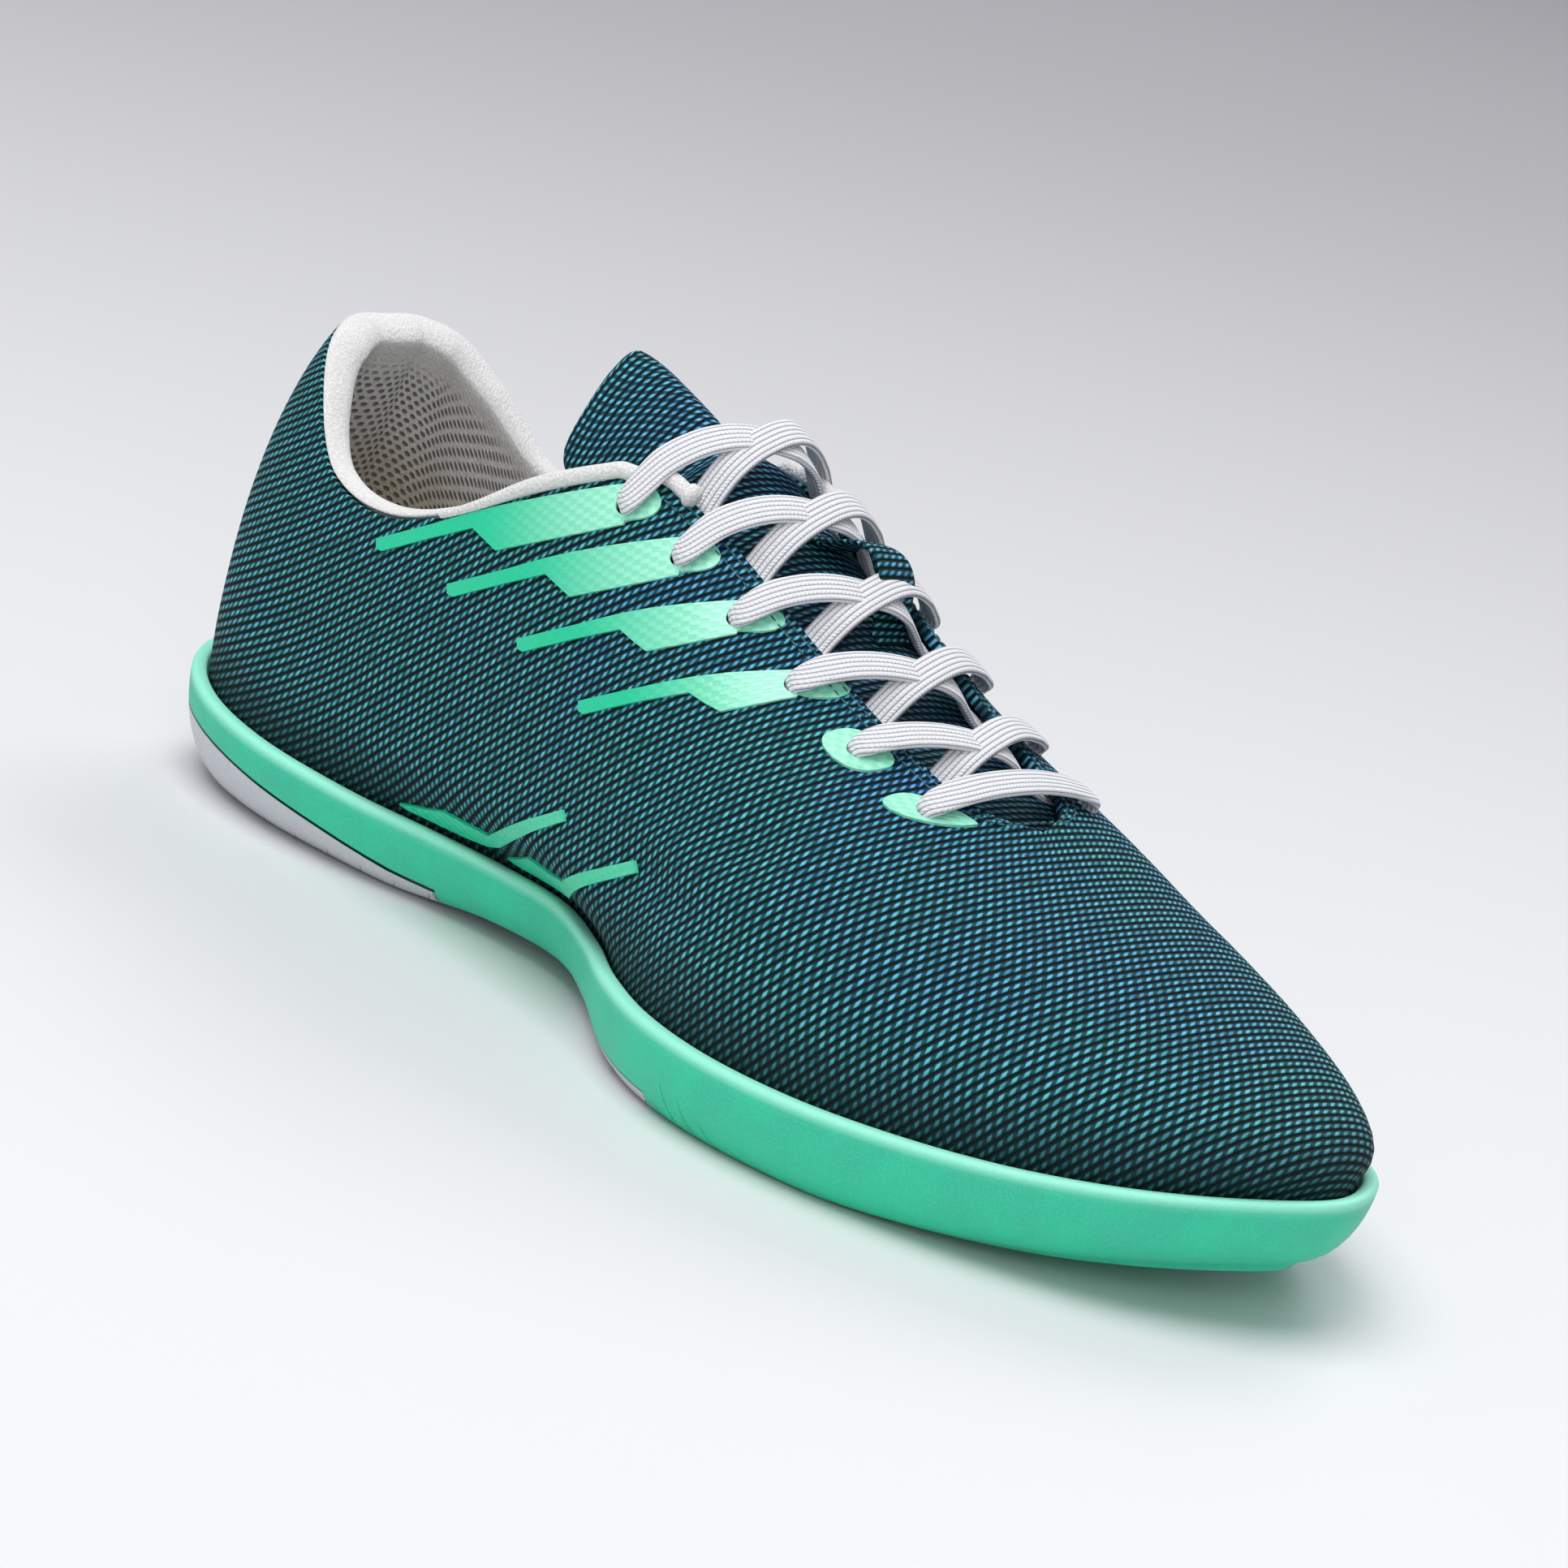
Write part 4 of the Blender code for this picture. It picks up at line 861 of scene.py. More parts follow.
def weave(f, u, v, rib, bead, slant=0.8):
    """Rope-like ribs across u with floats along v: their height and the mask of the highlights painted on the
    floats.
    """
    number, across = f.rows(u, rib)
    run = f.math("ADD", f.math("DIVIDE", v, bead), f.math("MULTIPLY", number, 0.5))
    run = f.math("ADD", run, f.math("MULTIPLY", across, slant))
    along = f.math("SUBTRACT", f.math("FRACT", run), 0.5)
    crest = f.math("COSINE", f.math("MULTIPLY", across, math.pi))
    float_rise = f.swing(along)
    rise = f.math("MULTIPLY", f.math("POWER", crest, 0.8), f.math("MULTIPLY_ADD", float_rise, 0.35, 0.65))
    # painted highlight: a bright dash on the crest of each float
    highlight_mask = f.math("MULTIPLY", f.step(crest, 0.62, 0.95), f.step(float_rise, 0.30, 0.80))
    return rise, highlight_mask


def woven(name, rib, bead):
    """Coarse two-colour weave of the upper and the tongue, with painted highlights on its floats and painted
    shade from the shade attribute.
    """
    f = Finish(name, 0.7, Specular_IOR_Level=0.18)
    u, v, uv = f.cloth()
    rise, highlight_mask = weave(f, u, v, rib, bead)
    wander = f.noise(uv, 330.0, 2.0)
    patch = f.noise(uv, 26.0, 2.0)
    shade = f.attribute("shade")
    blue = f.math("MULTIPLY", f.attribute("blue"), f.step(patch, 0.25, 0.65))
    body = f.mix(blue, CLOTH_TEAL, CLOTH_BLUE)
    highlight_colour = f.mix(blue, CLOTH_HIGHLIGHT, CLOTH_BLUE_HIGHLIGHT)
    colour = f.mix(f.step(rise, 0.38, 0.80), CLOTH_DARK, body)
    # painted highlight, its strength varied by noise, laid over the cloth's colour
    painted_highlight = f.math("MULTIPLY", highlight_mask, f.step(wander, 0.30, 0.62, 0.35, 0.95))
    colour = f.mix(painted_highlight, colour, highlight_colour)
    # painted shade from the shade attribute: dark close above the rim and low on the tongue
    colour = f.mix(f.math("SUBTRACT", 1.0, shade), colour, CLOTH_DARK)
    fibre = f.noise(uv, 5200.0, 2.0)
    relief = f.math("MULTIPLY_ADD", fibre, 0.10, rise)
    return f.done(colour, f.step(rise, 0.2, 0.9, 0.9, 0.55), f.bump(relief, 0.0007))


def green_rubber():
    """Fine-grained green rubber of the sole, its rim's top made paler by painted light."""
    f = Finish("green_rubber", 0.5, Coat_Weight=0.06, Coat_Roughness=0.35)
    place = f.place()
    grain = f.noise(place, GRAIN_SCALE, 2.0, 0.7)
    mottle = f.noise(place, 90.0, 3.0)
    colour = f.mix(f.step(mottle, 0.3, 0.7), GREEN_MOTTLE, GREEN_SIDE)
    colour = f.mix(f.step(grain, 0.35, 0.75, 0.0, 0.35), colour, GREEN_GRAIN)
    # painted light: the rim's top turns pale
    colour = f.mix(f.attribute("rim"), colour, GREEN_RIM_LIT)
    normal = f.bump(grain, 0.00025, 0.5)
    return f.done(colour, f.step(grain, 0.2, 0.8, 0.42, 0.62), normal)


def pale_rubber():
    """Smooth grey rubber of the ground plate, with shallow slanting ridges."""
    f = Finish("pale_rubber", 0.4, Coat_Weight=0.05, Coat_Roughness=0.3)
    wave = f.math("ABSOLUTE", f.math("SINE", f.math("MULTIPLY", f.slant(0.9), math.pi / PLATE_RIDGE)))
    ridge = f.math("MULTIPLY", f.step(wave, 0.10, 0.0), f.attribute("ridge"))
    grain = f.noise(f.place(), 1800.0, 2.0)
    colour = f.mix(f.step(grain, 0.3, 0.7), GREY_RUBBER, GREY_GRAIN)
    colour = f.mix(f.math("MULTIPLY", ridge, 0.35), colour, GREY_RIDGE)
    relief = f.math("MULTIPLY_ADD", grain, 0.12, ridge)
    return f.done(colour, f.step(grain, 0.2, 0.8, 0.34, 0.46), f.bump(relief, 0.0004))


def ribbed_green(name, slope, pitch):
    """Green rubber with small slanting ribs and painted shade between them, for the insets."""
    f = Finish(name, 0.5, Coat_Weight=0.06, Coat_Roughness=0.35)
    rib = f.step(f.math("SINE", f.math("MULTIPLY", f.slant(slope), 2 * math.pi / pitch)), -0.2, 0.8)
    grain = f.noise(f.place(), GRAIN_SCALE, 2.0, 0.7)
    # painted shade: darker green between the ribs
    colour = f.mix(rib, GREEN_GROOVE_SHADE, GREEN_SIDE)
    relief = f.math("MULTIPLY_ADD", grain, 0.2, rib)
    return f.done(colour, 0.5, f.bump(relief, 0.0006))


def green_film():
    """Glossy film, deep green at its tail and pale mint towards the eyelet, with a diamond emboss."""
    f = Finish("green_film", 0.32, Coat_Weight=0.25, Coat_Roughness=0.2)
    u, v, uv = f.cloth()
    marks = []
    for slope in (1.4, -1.4):
        lean = f.math("MULTIPLY_ADD", v, slope, u)
        marks.append(f.math("COSINE", f.math("MULTIPLY", lean, 2 * math.pi / DIAMOND_PITCH)))
    diamond = f.step(f.math("ADD", *marks), -1.2, 1.2)
    between_diamonds = f.math("MULTIPLY", f.math("SUBTRACT", 1.0, diamond), 0.30)
    colour = f.mix(f.attribute("fade"), FILM_GREEN, FILM_MINT)
    colour = f.mix(between_diamonds, colour, FILM_LINE)
    grain = f.noise(uv, 1500.0, 2.0)
    relief = f.math("MULTIPLY_ADD", grain, 0.15, diamond)
    return f.done(colour, f.step(grain, 0.2, 0.8, 0.28, 0.40), f.bump(relief, 0.00010))


def lining_mesh():
    """White spacer mesh with staggered holes and plain knit over the roll; painted shade darkens its holes
    and yarn gaps and turns it cream in the depth.
    """
    f = Finish("lining_mesh", 0.85, Sheen_Weight=0.15, Sheen_Roughness=0.5)
    u, v, uv = f.cloth()
    number, a = f.rows(v, MESH_ROW)
    run = f.math("ADD", f.math("DIVIDE", u, MESH_PITCH), f.math("MULTIPLY", number, 0.5))
    b = f.math("SUBTRACT", f.math("FRACT", run), 0.5)
    away = f.math("SQRT", f.math("ADD", f.math("MULTIPLY", a, a), f.math("MULTIPLY", b, b)))
    hole = f.math("MULTIPLY", f.step(away, 0.36, 0.16), f.attribute("open"))
    fuzz = f.noise(uv, 2400.0, 3.0, 0.7)
    yarn = f.cells(uv, YARN_SCALE)
    # painted shade between the yarns
    white = f.mix(f.step(yarn, 0.1, 0.6), KNIT_WHITE, KNIT_SHADE)
    # painted shade: cream deeper inside the shoe
    colour = f.mix(f.attribute("depth"), white, KNIT_DEPTH_SHADE)
    # painted shade in the mesh's holes
    colour = f.mix(f.math("MULTIPLY", hole, 0.85), colour, KNIT_HOLE_SHADE)
    relief = f.math("MULTIPLY_ADD", fuzz, 0.25, f.math("MULTIPLY", hole, -1.0))
    relief = f.math("MULTIPLY_ADD", yarn, -0.25, relief)
    return f.done(colour, 0.85, f.bump(relief, 0.0007))


def lace_braid():
    """Flat braid: lengthwise ridges with a slanting yarn pattern and painted shade where it lies low."""
    f = Finish("lace_braid", 0.75, Sheen_Weight=0.12, Sheen_Roughness=0.5)
    u, v, uv = f.cloth()
    number, across = f.rows(v, BRAID_ROW)
    turn = f.math("SUBTRACT", f.math("MULTIPLY", f.math("FLOORED_MODULO", number, 2.0), 2.0), 1.0)
    slant = f.math("MULTIPLY", f.math("MULTIPLY", across, turn), 0.8)
    yarn = f.swing(f.math("ADD", f.math("DIVIDE", u, BRAID_YARN), slant))
    crest = f.math("POWER", f.math("COSINE", f.math("MULTIPLY", across, math.pi)), 0.6)
    rise = f.math("MULTIPLY", crest, f.math("MULTIPLY_ADD", yarn, 0.35, 0.65))
    fuzz = f.noise(uv, 3000.0, 2.0)
    # painted shade: 0.55 of the white where the braid lies low
    colour = f.mix(f.step(rise, 0.15, 0.65), tuple(0.55 * c for c in LACE_WHITE), LACE_WHITE)
    return f.done(colour, 0.75, f.bump(f.math("MULTIPLY_ADD", fuzz, 0.2, rise), 0.00035))


def knit_roll(name, tint):
    """Fuzzy white knit of the piping's round end and the insole's cover, with painted shade between its
    yarns.
    """
    f = Finish(name, 0.85, Sheen_Weight=0.15, Sheen_Roughness=0.5)
    place = f.place()
    yarn = f.cells(place, YARN_SCALE)
    fuzz = f.noise(place, GRAIN_SCALE, 3.0, 0.7)
    # painted shade: 0.84 of the tint between the yarns
    colour = f.mix(f.step(yarn, 0.15, 0.65), tint, tuple(0.84 * c for c in tint))
    relief = f.math("MULTIPLY_ADD", fuzz, 0.5, f.math("MULTIPLY", yarn, -1.0))
    return f.done(colour, 0.85, f.bump(relief, 0.00025))


def thread(name, tint):
    """Twisted sewing thread."""
    f = Finish(name, 0.6, Sheen_Weight=0.1)
    place = f.place()
    twist = f.noise(place, 2200.0, 2.0)
    colour = f.mix(f.step(twist, 0.3, 0.7), tuple(0.6 * c for c in tint), tint)
    return f.done(colour, 0.6, f.bump(twist, 0.0002))


def paint(mesh, name, rule):
    """A value on every point of a mesh, from the point's place."""
    layer = mesh.attributes.new(name, "FLOAT", "POINT")
    layer.data.foreach_set("value", [rule(vertex.co) for vertex in mesh.vertices])


def joined(name, meshes):
    form = bmesh.new()
    for mesh in meshes:
        form.from_mesh(mesh)
        bpy.data.meshes.remove(mesh)
    mesh = bpy.data.meshes.new(name)
    form.to_mesh(mesh)
    form.free()
    return mesh


def upper_column(place):
    """Points of the upper's outer surface down one section, from its edge into the cup."""
    top = edge_angle(place)
    points = [arch(place, top * t) for t in np.linspace(1, 0, 46)[:-1]]
    points += [flare(place, t) for t in np.linspace(1, 0, 9)] + [upper_base(place)]
    points = np.array(points)
    run = lengths(points)
    rest = np.linspace(EDGE_ROWS[-1], run[-1], REST_ROWS + 1)[1:]
    wanted = np.concatenate((EDGE_ROWS, rest))
    return np.stack([np.interp(wanted, run, points[:, k]) for k in range(3)], axis=1)


def column_places():
    """Places of the upper's sections; between the poles both sides have the same shares."""
    lateral = [HALF * k * 2 / COLUMNS for k in range(COLUMNS // 2 + 1)]
    medial = []
    for place in reversed(lateral[:-1]):
        share = share_of(UPPER_PLAN.at(place)[0])
        between_poles = HEEL_POLE < share < TOE_POLE
        medial.append(place_of(share, 1) if between_poles else FULL - place)
    return lateral + medial


def balance(count, starts, ends, pulls, weights):
    """Values whose differences along edges come nearest to the wanted pulls."""
    def spread(values):
        return np.bincount(ends, values, count) - np.bincount(starts, values, count)

    degree = np.bincount(ends, weights, count) + np.bincount(starts, weights, count)
    degree[degree == 0] = 1.0
    value = np.zeros(count)
    left = spread(weights * pulls)
    aim = left / degree
    way = aim.copy()
    size = left @ aim
    for _ in range(1500):
        push = spread(weights * (way[ends] - way[starts]))
        step = size / max(way @ push, 1e-300)
        value += step * way
        left -= step * push
        aim = left / degree
        fresh = left @ aim
        if fresh < 1e-16:
            break
        way = aim + fresh / size * way
        size = fresh
    return value


def lay_cloth(points, normals, places):
    """Two lengths over the upper, across and along the weave's ribs, stretched as little as can be."""
    rows, count = points.shape[:2]
    x = points[:, :, 0]
    share = share_of(x)
    at_heel = np.clip((HEEL_END - share) / HEEL_END, 0, 1)
    at_vamp = np.clip((share - VAMP_FADE[0]) / (VAMP_FADE[1] - VAMP_FADE[0]), 0, 1)
    lean = LEAN + HEEL_LEAN * at_heel - VAMP_LEAN * at_vamp
    slope = np.stack((np.ones_like(x), np.zeros_like(x), -lean), axis=2)
    along = np.cross(normals, slope)
    along /= np.linalg.norm(along, axis=2, keepdims=True)
    across = np.cross(along, normals)
    result = []
    for direction, seam in ((across, True), (along, False)):
        ids = np.arange(rows * count).reshape(rows, count)
        for i in range(1, count // 2):
            if edge_angle(places[i]) == math.pi / 2:
                ids[0, count - 1 - i] = ids[0, i]
        pole = [i for i in range(count) if share_of(UPPER_PLAN.at(places[i])[0]) >= TOE_POLE]
        ids[0, pole] = ids[0, pole[0]]
        if seam:
            ids[:, -1] = ids[:, 0]
        pairs = [(np.s_[:, :-1], np.s_[:, 1:]), (np.s_[:-1, :], np.s_[1:, :])]
        starts = np.concatenate([ids[a].ravel() for a, _ in pairs])
        ends = np.concatenate([ids[b].ravel() for _, b in pairs])
        gaps = np.concatenate([(points[b] - points[a]).reshape(-1, 3) for a, b in pairs])
        means = np.concatenate([((direction[a] + direction[b]) / 2).reshape(-1, 3) for a, b in pairs])
        pulls = (gaps * means).sum(axis=1)
        weights = 1 / np.maximum(np.linalg.norm(gaps, axis=1), 1e-5)
        weights[starts == ends] = 0.0
        value = balance(rows * count, starts, ends, pulls, weights)
        result.append(value[ids])
    return result


def grid_normals(points):
    down = np.gradient(points, axis=0)
    around = np.gradient(points, axis=1)
    around[:, 0] = around[:, -1] = points[:, 1] - points[:, -2]
    normals = np.cross(down, around)
    size = np.linalg.norm(normals, axis=2, keepdims=True)
    normals = normals / np.maximum(size, 1e-12)
    normals[0] = normals[1]
    return normals


def creased(points, normals):
    """Move the upper's points by the cloth's soft troughs and ridges."""
    moved = points.copy()
    for side, share, z, half_length, half_height, depth in CREASES:
        reach = np.exp(-((points[:, :, 0] - at_share(share)) / half_length) ** 2
                       - ((points[:, :, 2] - z) / half_height) ** 2)
        moved -= (reach * depth * (np.sign(points[:, :, 1]) == side))[:, :, None] * normals
    return moved


def throat_distance(co):
    """How far a point lies outside the throat's edge in plan; large beyond its two ends."""
    share = share_of(co.x)
    if not COLLAR_FRONT - 0.02 < share < THROAT_BASE + 0.02:
        return 1.0
    return abs(co.y - spine_y(co.x)) - throat_half(co.x)


def cloth_painted_shade(co):
    """Painted shade: dark close above the rim, full colour above."""
    return 0.22 + 0.78 * between(0.0, SHADE_HEIGHT, co.z - height(RIM, co.x))


def cloth_blue(co):
    """Bluer beside the throat and a little over the vamp."""
    share = share_of(co.x)
    beside = math.exp(-(max(throat_distance(co), 0.0) / 0.018) ** 2) if 0.42 < share < 0.70 else 0.0
    vamp = 0.35 * between(0.60, 0.72, share) * between(0.030, 0.045, co.z)
    return min(0.12 + 0.75 * beside + vamp, 1.0)


def dress_cloth(mesh):
    paint(mesh, "shade", cloth_painted_shade)
    paint(mesh, "blue", cloth_blue)


def eyelet_pins(radius, sides=(-1, 1), rows=range(6)):
    """Pins through eyelets, to cut their holes."""
    form = bmesh.new()
    for side in sides:
        for row in rows:
            centre, normal = eyelet(side, EYELET_ROWS[row])
            turn = Vector((0, 0, 1)).rotation_difference(normal).to_matrix().to_4x4()
            bmesh.ops.create_cone(form, cap_ends=True, segments=24, radius1=radius, radius2=radius,
                                  depth=PIN_LENGTH, matrix=Matrix.Translation(centre) @ turn)
    mesh = bpy.data.meshes.new("pins")
    form.to_mesh(mesh)
    form.free()
    return mesh


def build_upper(cloth):
    """The woven upper with its wall, folded throat edge, creases and eyelet holes."""
    places = column_places()
    points = np.stack([upper_column(place) for place in places], axis=1)
    normals = grid_normals(points)
    across, along = lay_cloth(points, normals, places)
    surface = creased(points, normals)
    down = np.array(list(EDGE_ROWS) + [1.0] * REST_ROWS)
    rise = FOLD_RISE * np.array([1 - between(FOLD_WIDTH - FOLD_STEP, FOLD_WIDTH, d) for d in down])
    for i, place in enumerate(places):
        edge = Vector(points[0, i])
        inside = COLLAR_FRONT < share_of(edge.x) < THROAT_BASE
        if inside and edge_angle(place) < math.pi / 2:
            surface[:, i] += rise[:, None] * normals[:, i]
    uvs = np.stack((across, along), axis=2)
    mesh = welded(sheet_mesh("upper_cloth", surface, uvs=uvs), CLOTH_WELD)
    upper = new_object("upper_cloth", mesh, cloth)
    wall = upper.modifiers.new("wall", "SOLIDIFY")
    wall.thickness = UPPER_WALL
    wall.offset = -1
    settled(upper)
    boolean(upper, eyelet_pins(EYELET_RADIUS))
    dress_cloth(upper.data)
    piece(upper, "woven_upper", "upper")
    return places, surface, normals


def throat_line(places, surface, normals, row):
    """Points along one row of the upper, all round the throat: lateral side first."""
    run = []
    for i, place in enumerate(places):
        edge = surface[0, i]
        share = share_of(edge[0])
        if COLLAR_FRONT + THROAT_MARGIN < share < THROAT_BASE and edge_angle(place) < math.pi / 2:
            run.append(Vector(surface[row, i] + normals[row, i] * STITCH_LIFT))
    return run


def stitch_tree():
    """Geometry nodes that set a stitch at even steps along a curve."""
    tree = bpy.data.node_groups.new("stitches", "GeometryNodeTree")
    face = tree.interface
    face.new_socket("Path", in_out="INPUT", socket_type="NodeSocketGeometry")
    for name in ("Pitch", "Length", "Thickness"):
        face.new_socket(name, in_out="INPUT", socket_type="NodeSocketFloat")
    face.new_socket("Thread", in_out="INPUT", socket_type="NodeSocketMaterial")
    face.new_socket("Stitches", in_out="OUTPUT", socket_type="NodeSocketGeometry")
    nodes, links = tree.nodes, tree.links
    source, target = nodes.new("NodeGroupInput"), nodes.new("NodeGroupOutput")
    steps = nodes.new("GeometryNodeCurveToPoints")
    steps.mode = "LENGTH"
    bead = nodes.new("GeometryNodeMeshUVSphere")
    bead.inputs["Segments"].default_value = 8
    bead.inputs["Rings"].default_value = 6
    bead.inputs["Radius"].default_value = 0.5
    size = nodes.new("ShaderNodeCombineXYZ")
    place = nodes.new("GeometryNodeInstanceOnPoints")
    real = nodes.new("GeometryNodeRealizeInstances")
    finish = nodes.new("GeometryNodeSetMaterial")
    shade = nodes.new("GeometryNodeSetShadeSmooth")
    links.new(source.outputs["Path"], steps.inputs["Curve"])
    links.new(source.outputs["Pitch"], steps.inputs["Length"])
    links.new(steps.outputs["Points"], place.inputs["Points"])
    links.new(steps.outputs["Rotation"], place.inputs["Rotation"])
    links.new(bead.outputs["Mesh"], place.inputs["Instance"])
    for axis, name in (("X", "Thickness"), ("Y", "Thickness"), ("Z", "Length")):
        links.new(source.outputs[name], size.inputs[axis])
    links.new(size.outputs[0], place.inputs["Scale"])
    links.new(place.outputs["Instances"], real.inputs["Geometry"])
    links.new(real.outputs["Geometry"], shade.inputs["Geometry"])
    links.new(shade.outputs["Geometry"], finish.inputs["Geometry"])
    links.new(source.outputs["Thread"], finish.inputs["Material"])
    links.new(finish.outputs["Geometry"], target.inputs["Stitches"])
    return tree


def stitch_row(name, tree, path, finish):
    """Stitches along a run of points, as one mesh."""
    curve = bpy.data.curves.new(name, "CURVE")
    curve.dimensions = "3D"
    line = curve.splines.new("POLY")
    line.points.add(len(path) - 1)
    for point, co in zip(line.points, path):
        point.co = (*co, 1.0)
    thing = bpy.data.objects.new(name, curve)
    bpy.context.scene.collection.objects.link(thing)
    modifier = thing.modifiers.new("stitches", "NODES")
    modifier.node_group = tree
    values = {"Pitch": STITCH_PITCH, "Length": STITCH_LENGTH, "Thickness": STITCH_THICKNESS, "Thread": finish}
    for item in tree.interface.items_tree:
        if item.name in values:
            modifier[item.identifier] = values[item.name]
    return settled(thing)


def lining_section(place):
    """Closed section of the lining: down inside the upper, over its edge in a roll, and back."""
    share = share_of(UPPER_PLAN.at(place)[0])
    near = UPPER_WALL + FIT_GAP + LINING_EASE
    pad = LINING_WALL + COLLAR_PAD * min(max((PAD_END - share) / PAD_FADE, 0.0), 1.0)
    top = edge_v(place)
    points = []
    for v in (0.02, 0.35 * top, 0.65 * top, 0.88 * top):
        point, _, normal = skin_frame(place, v)
        points.append(point - normal * near)
    point, upward, normal = skin_frame(place, top)
    roll = ROLL_HEIGHT
    over = ((near, -0.001), (near * 0.9, FIT_GAP), (0.0004, FIT_GAP * 2), (0.0001, roll * 0.6),
            (0.0010, roll * 1.15), (near + pad * 0.4, roll * 1.5), (near + pad * 0.85, roll * 1.1),
            (near + pad, roll * 0.2), (near + pad, -0.006))
    for depth, above in over:
        points.append(point - normal * depth + upward * above)
    behind = ((0.75 * top, near + pad * 0.8 + LINING_WALL * 0.2), (0.5 * top, near + LINING_WALL * 1.2),
              (0.25 * top, near + LINING_WALL), (0.02, near + LINING_WALL))
    for v, depth in behind:
        point, _, normal = skin_frame(place, v)
        points.append(point - normal * depth)
    return points


def edge_height(x):
    return smooth(TOPLINE, share_of(x))


def build_lining(finish):
    """Padded lining with its white roll above the collar's edge."""
    last = place_of(LINING_FRONT, -1)
    places = [p % FULL for p in np.linspace(-last, last, LINING_COLUMNS)]
    sections = [spline(lining_section(place), LINING_POINTS, closed=True) for place in places]
    along = lengths([section[20] for section in sections])
    uvs = [[(along[k], v) for v in lengths(list(section))] for k, section in enumerate(sections)]
    mesh = tube_mesh("lining", sections, uvs)
    paint(mesh, "open", lambda co: between(*MESH_TOP, edge_height(co.x) - co.z))
    # painted shade: the mesh turns cream deeper inside the shoe
    paint(mesh, "depth", lambda co: between(*MESH_SHADE_DEPTHS, edge_height(co.x) - co.z))
    lining = piece(new_object("lining", mesh, finish), "white_lining", "collar_lining")


def ring_tube(name, path, radii, sides=14):
    """Round tube along a path whose radius changes."""
    sections = []
    for i, centre in enumerate(path):
        ahead = (path[min(i + 1, len(path) - 1)] - path[max(i - 1, 0)]).normalized()
        across = ahead.cross(Vector((0, 0, 1))).normalized()
        up = across.cross(ahead)
        sections.append([centre + (across * math.cos(a) + up * math.sin(a)) * radii[i]
                         for a in np.linspace(0, 2 * math.pi, sides, endpoint=False)])
    return tube_mesh(name, sections)


def build_piping(places, surface, normals, finish):
    """White piping from the collar's side, round its front corner, to a round end on the eyestay."""
    for side, name in ((-1, "piping_lateral"), (1, "piping_medial")):
        run = []
        for i, place in enumerate(places):
            share = share_of(UPPER_PLAN.at(place)[0])
            if (place < HALF) == (side < 0) and PIPING_REACH[0] < share < PIPING_REACH[1]:
                run.append((share, Vector(surface[0, i] + normals[0, i] * PIPING_SEAT)))
        run.sort(key=lambda entry: entry[0])
        raised = [co + Vector((0, 0, PIPING_RISE)) for _, co in run[::2]]
        path = [Vector(p) for p in spline(raised, PIPING_POINTS)]
        last = path[-1]
        ahead = (last - path[-3]).normalized()
        thin, full = PIPING_RADII
        radii = [thin + (full - thin) * between(0, 40, i) for i in range(PIPING_POINTS)]
        for t in (0.25, 0.5, 0.72, 0.88, 0.97, 1.0):
            path.append(last + ahead * NUB_LENGTH * t + Vector((0, 0, NUB_LIFT)))
            radii.append(NUB_RADIUS * math.sqrt(max(1 - (2 * t - 0.9) ** 2 * 0.8, 0.05)))
        piece(new_object(name, ring_tube(name, path, radii), finish), "white_lining")


def under_roof(x, y, depth):
    return Vector((x, y, roof(x, y))) - roof_normal(x, y) * depth


def tongue_sections():
    """Closed sections of the tongue, from its root under the vamp to its free end."""
    near = UPPER_WALL + FIT_GAP + TONGUE_SLACK
    sections = []
    start = COLLAR_FRONT + THROAT_MARGIN
    for k in range(TONGUE_HIDDEN):
        x = at_share(TONGUE_ROOT + (start - TONGUE_ROOT) * k / (TONGUE_HIDDEN - 1))
        half = throat_half(min(x, at_share(THROAT_BASE) - THROAT_HALF_BASE)) + TONGUE_REACH
        columns = [spine_y(x) + half * c for c in TONGUE_COLUMNS]
        outer = [under_roof(x, y, near) for y in columns]
        inner = [under_roof(x, y, near + TONGUE_WALL) for y in columns]
        sections.append(outer + inner[::-1])
    for share, middle, half, droop, sweep in TONGUE_FREE:
        outer, inner = [], []
        for c in TONGUE_COLUMNS:
            x = at_share(share)
            drop = droop * abs(c) ** TONGUE_POINT
            point = Vector((x + sweep * c * c, spine_y(x) + half * c, middle - drop))
            tilt = math.atan(TONGUE_POINT * droop / half * abs(c) ** (TONGUE_POINT - 1))
            normal = Vector((0.0, math.copysign(math.sin(tilt), c), math.cos(tilt)))
            outer.append(point)
            inner.append(point - normal * TONGUE_WALL)
        sections.append(outer + inner[::-1])
    return sections


def build_tongue(cloth):
    """Padded tongue: under the throat's edges, then free above the collar."""
    rounded = [spline(section, TONGUE_AROUND, closed=True) for section in tongue_sections()]
    lines = [spline([section[i] for section in rounded], TONGUE_ALONG) for i in range(TONGUE_AROUND)]
    sections = [list(row) for row in zip(*lines)]
    along = lengths([section[12] for section in sections])
    uvs = [[(along[k], v) for v in lengths(section)] for k, section in enumerate(sections)]
    mesh = tube_mesh("tongue_cloth", sections, uvs)
    # painted shade: darker low on the tongue
    paint(mesh, "shade", lambda co: 0.45 + 0.55 * between(0.075, 0.100, co.z))
    behind = at_share(0.44)
    paint(mesh, "blue", lambda co: 1.0 - 0.75 * between(0.0, 0.055, 0.5 * abs(co.y) + behind - co.x))
    tongue = piece(new_object("tongue_cloth", mesh, cloth), "woven_upper", "tongue")


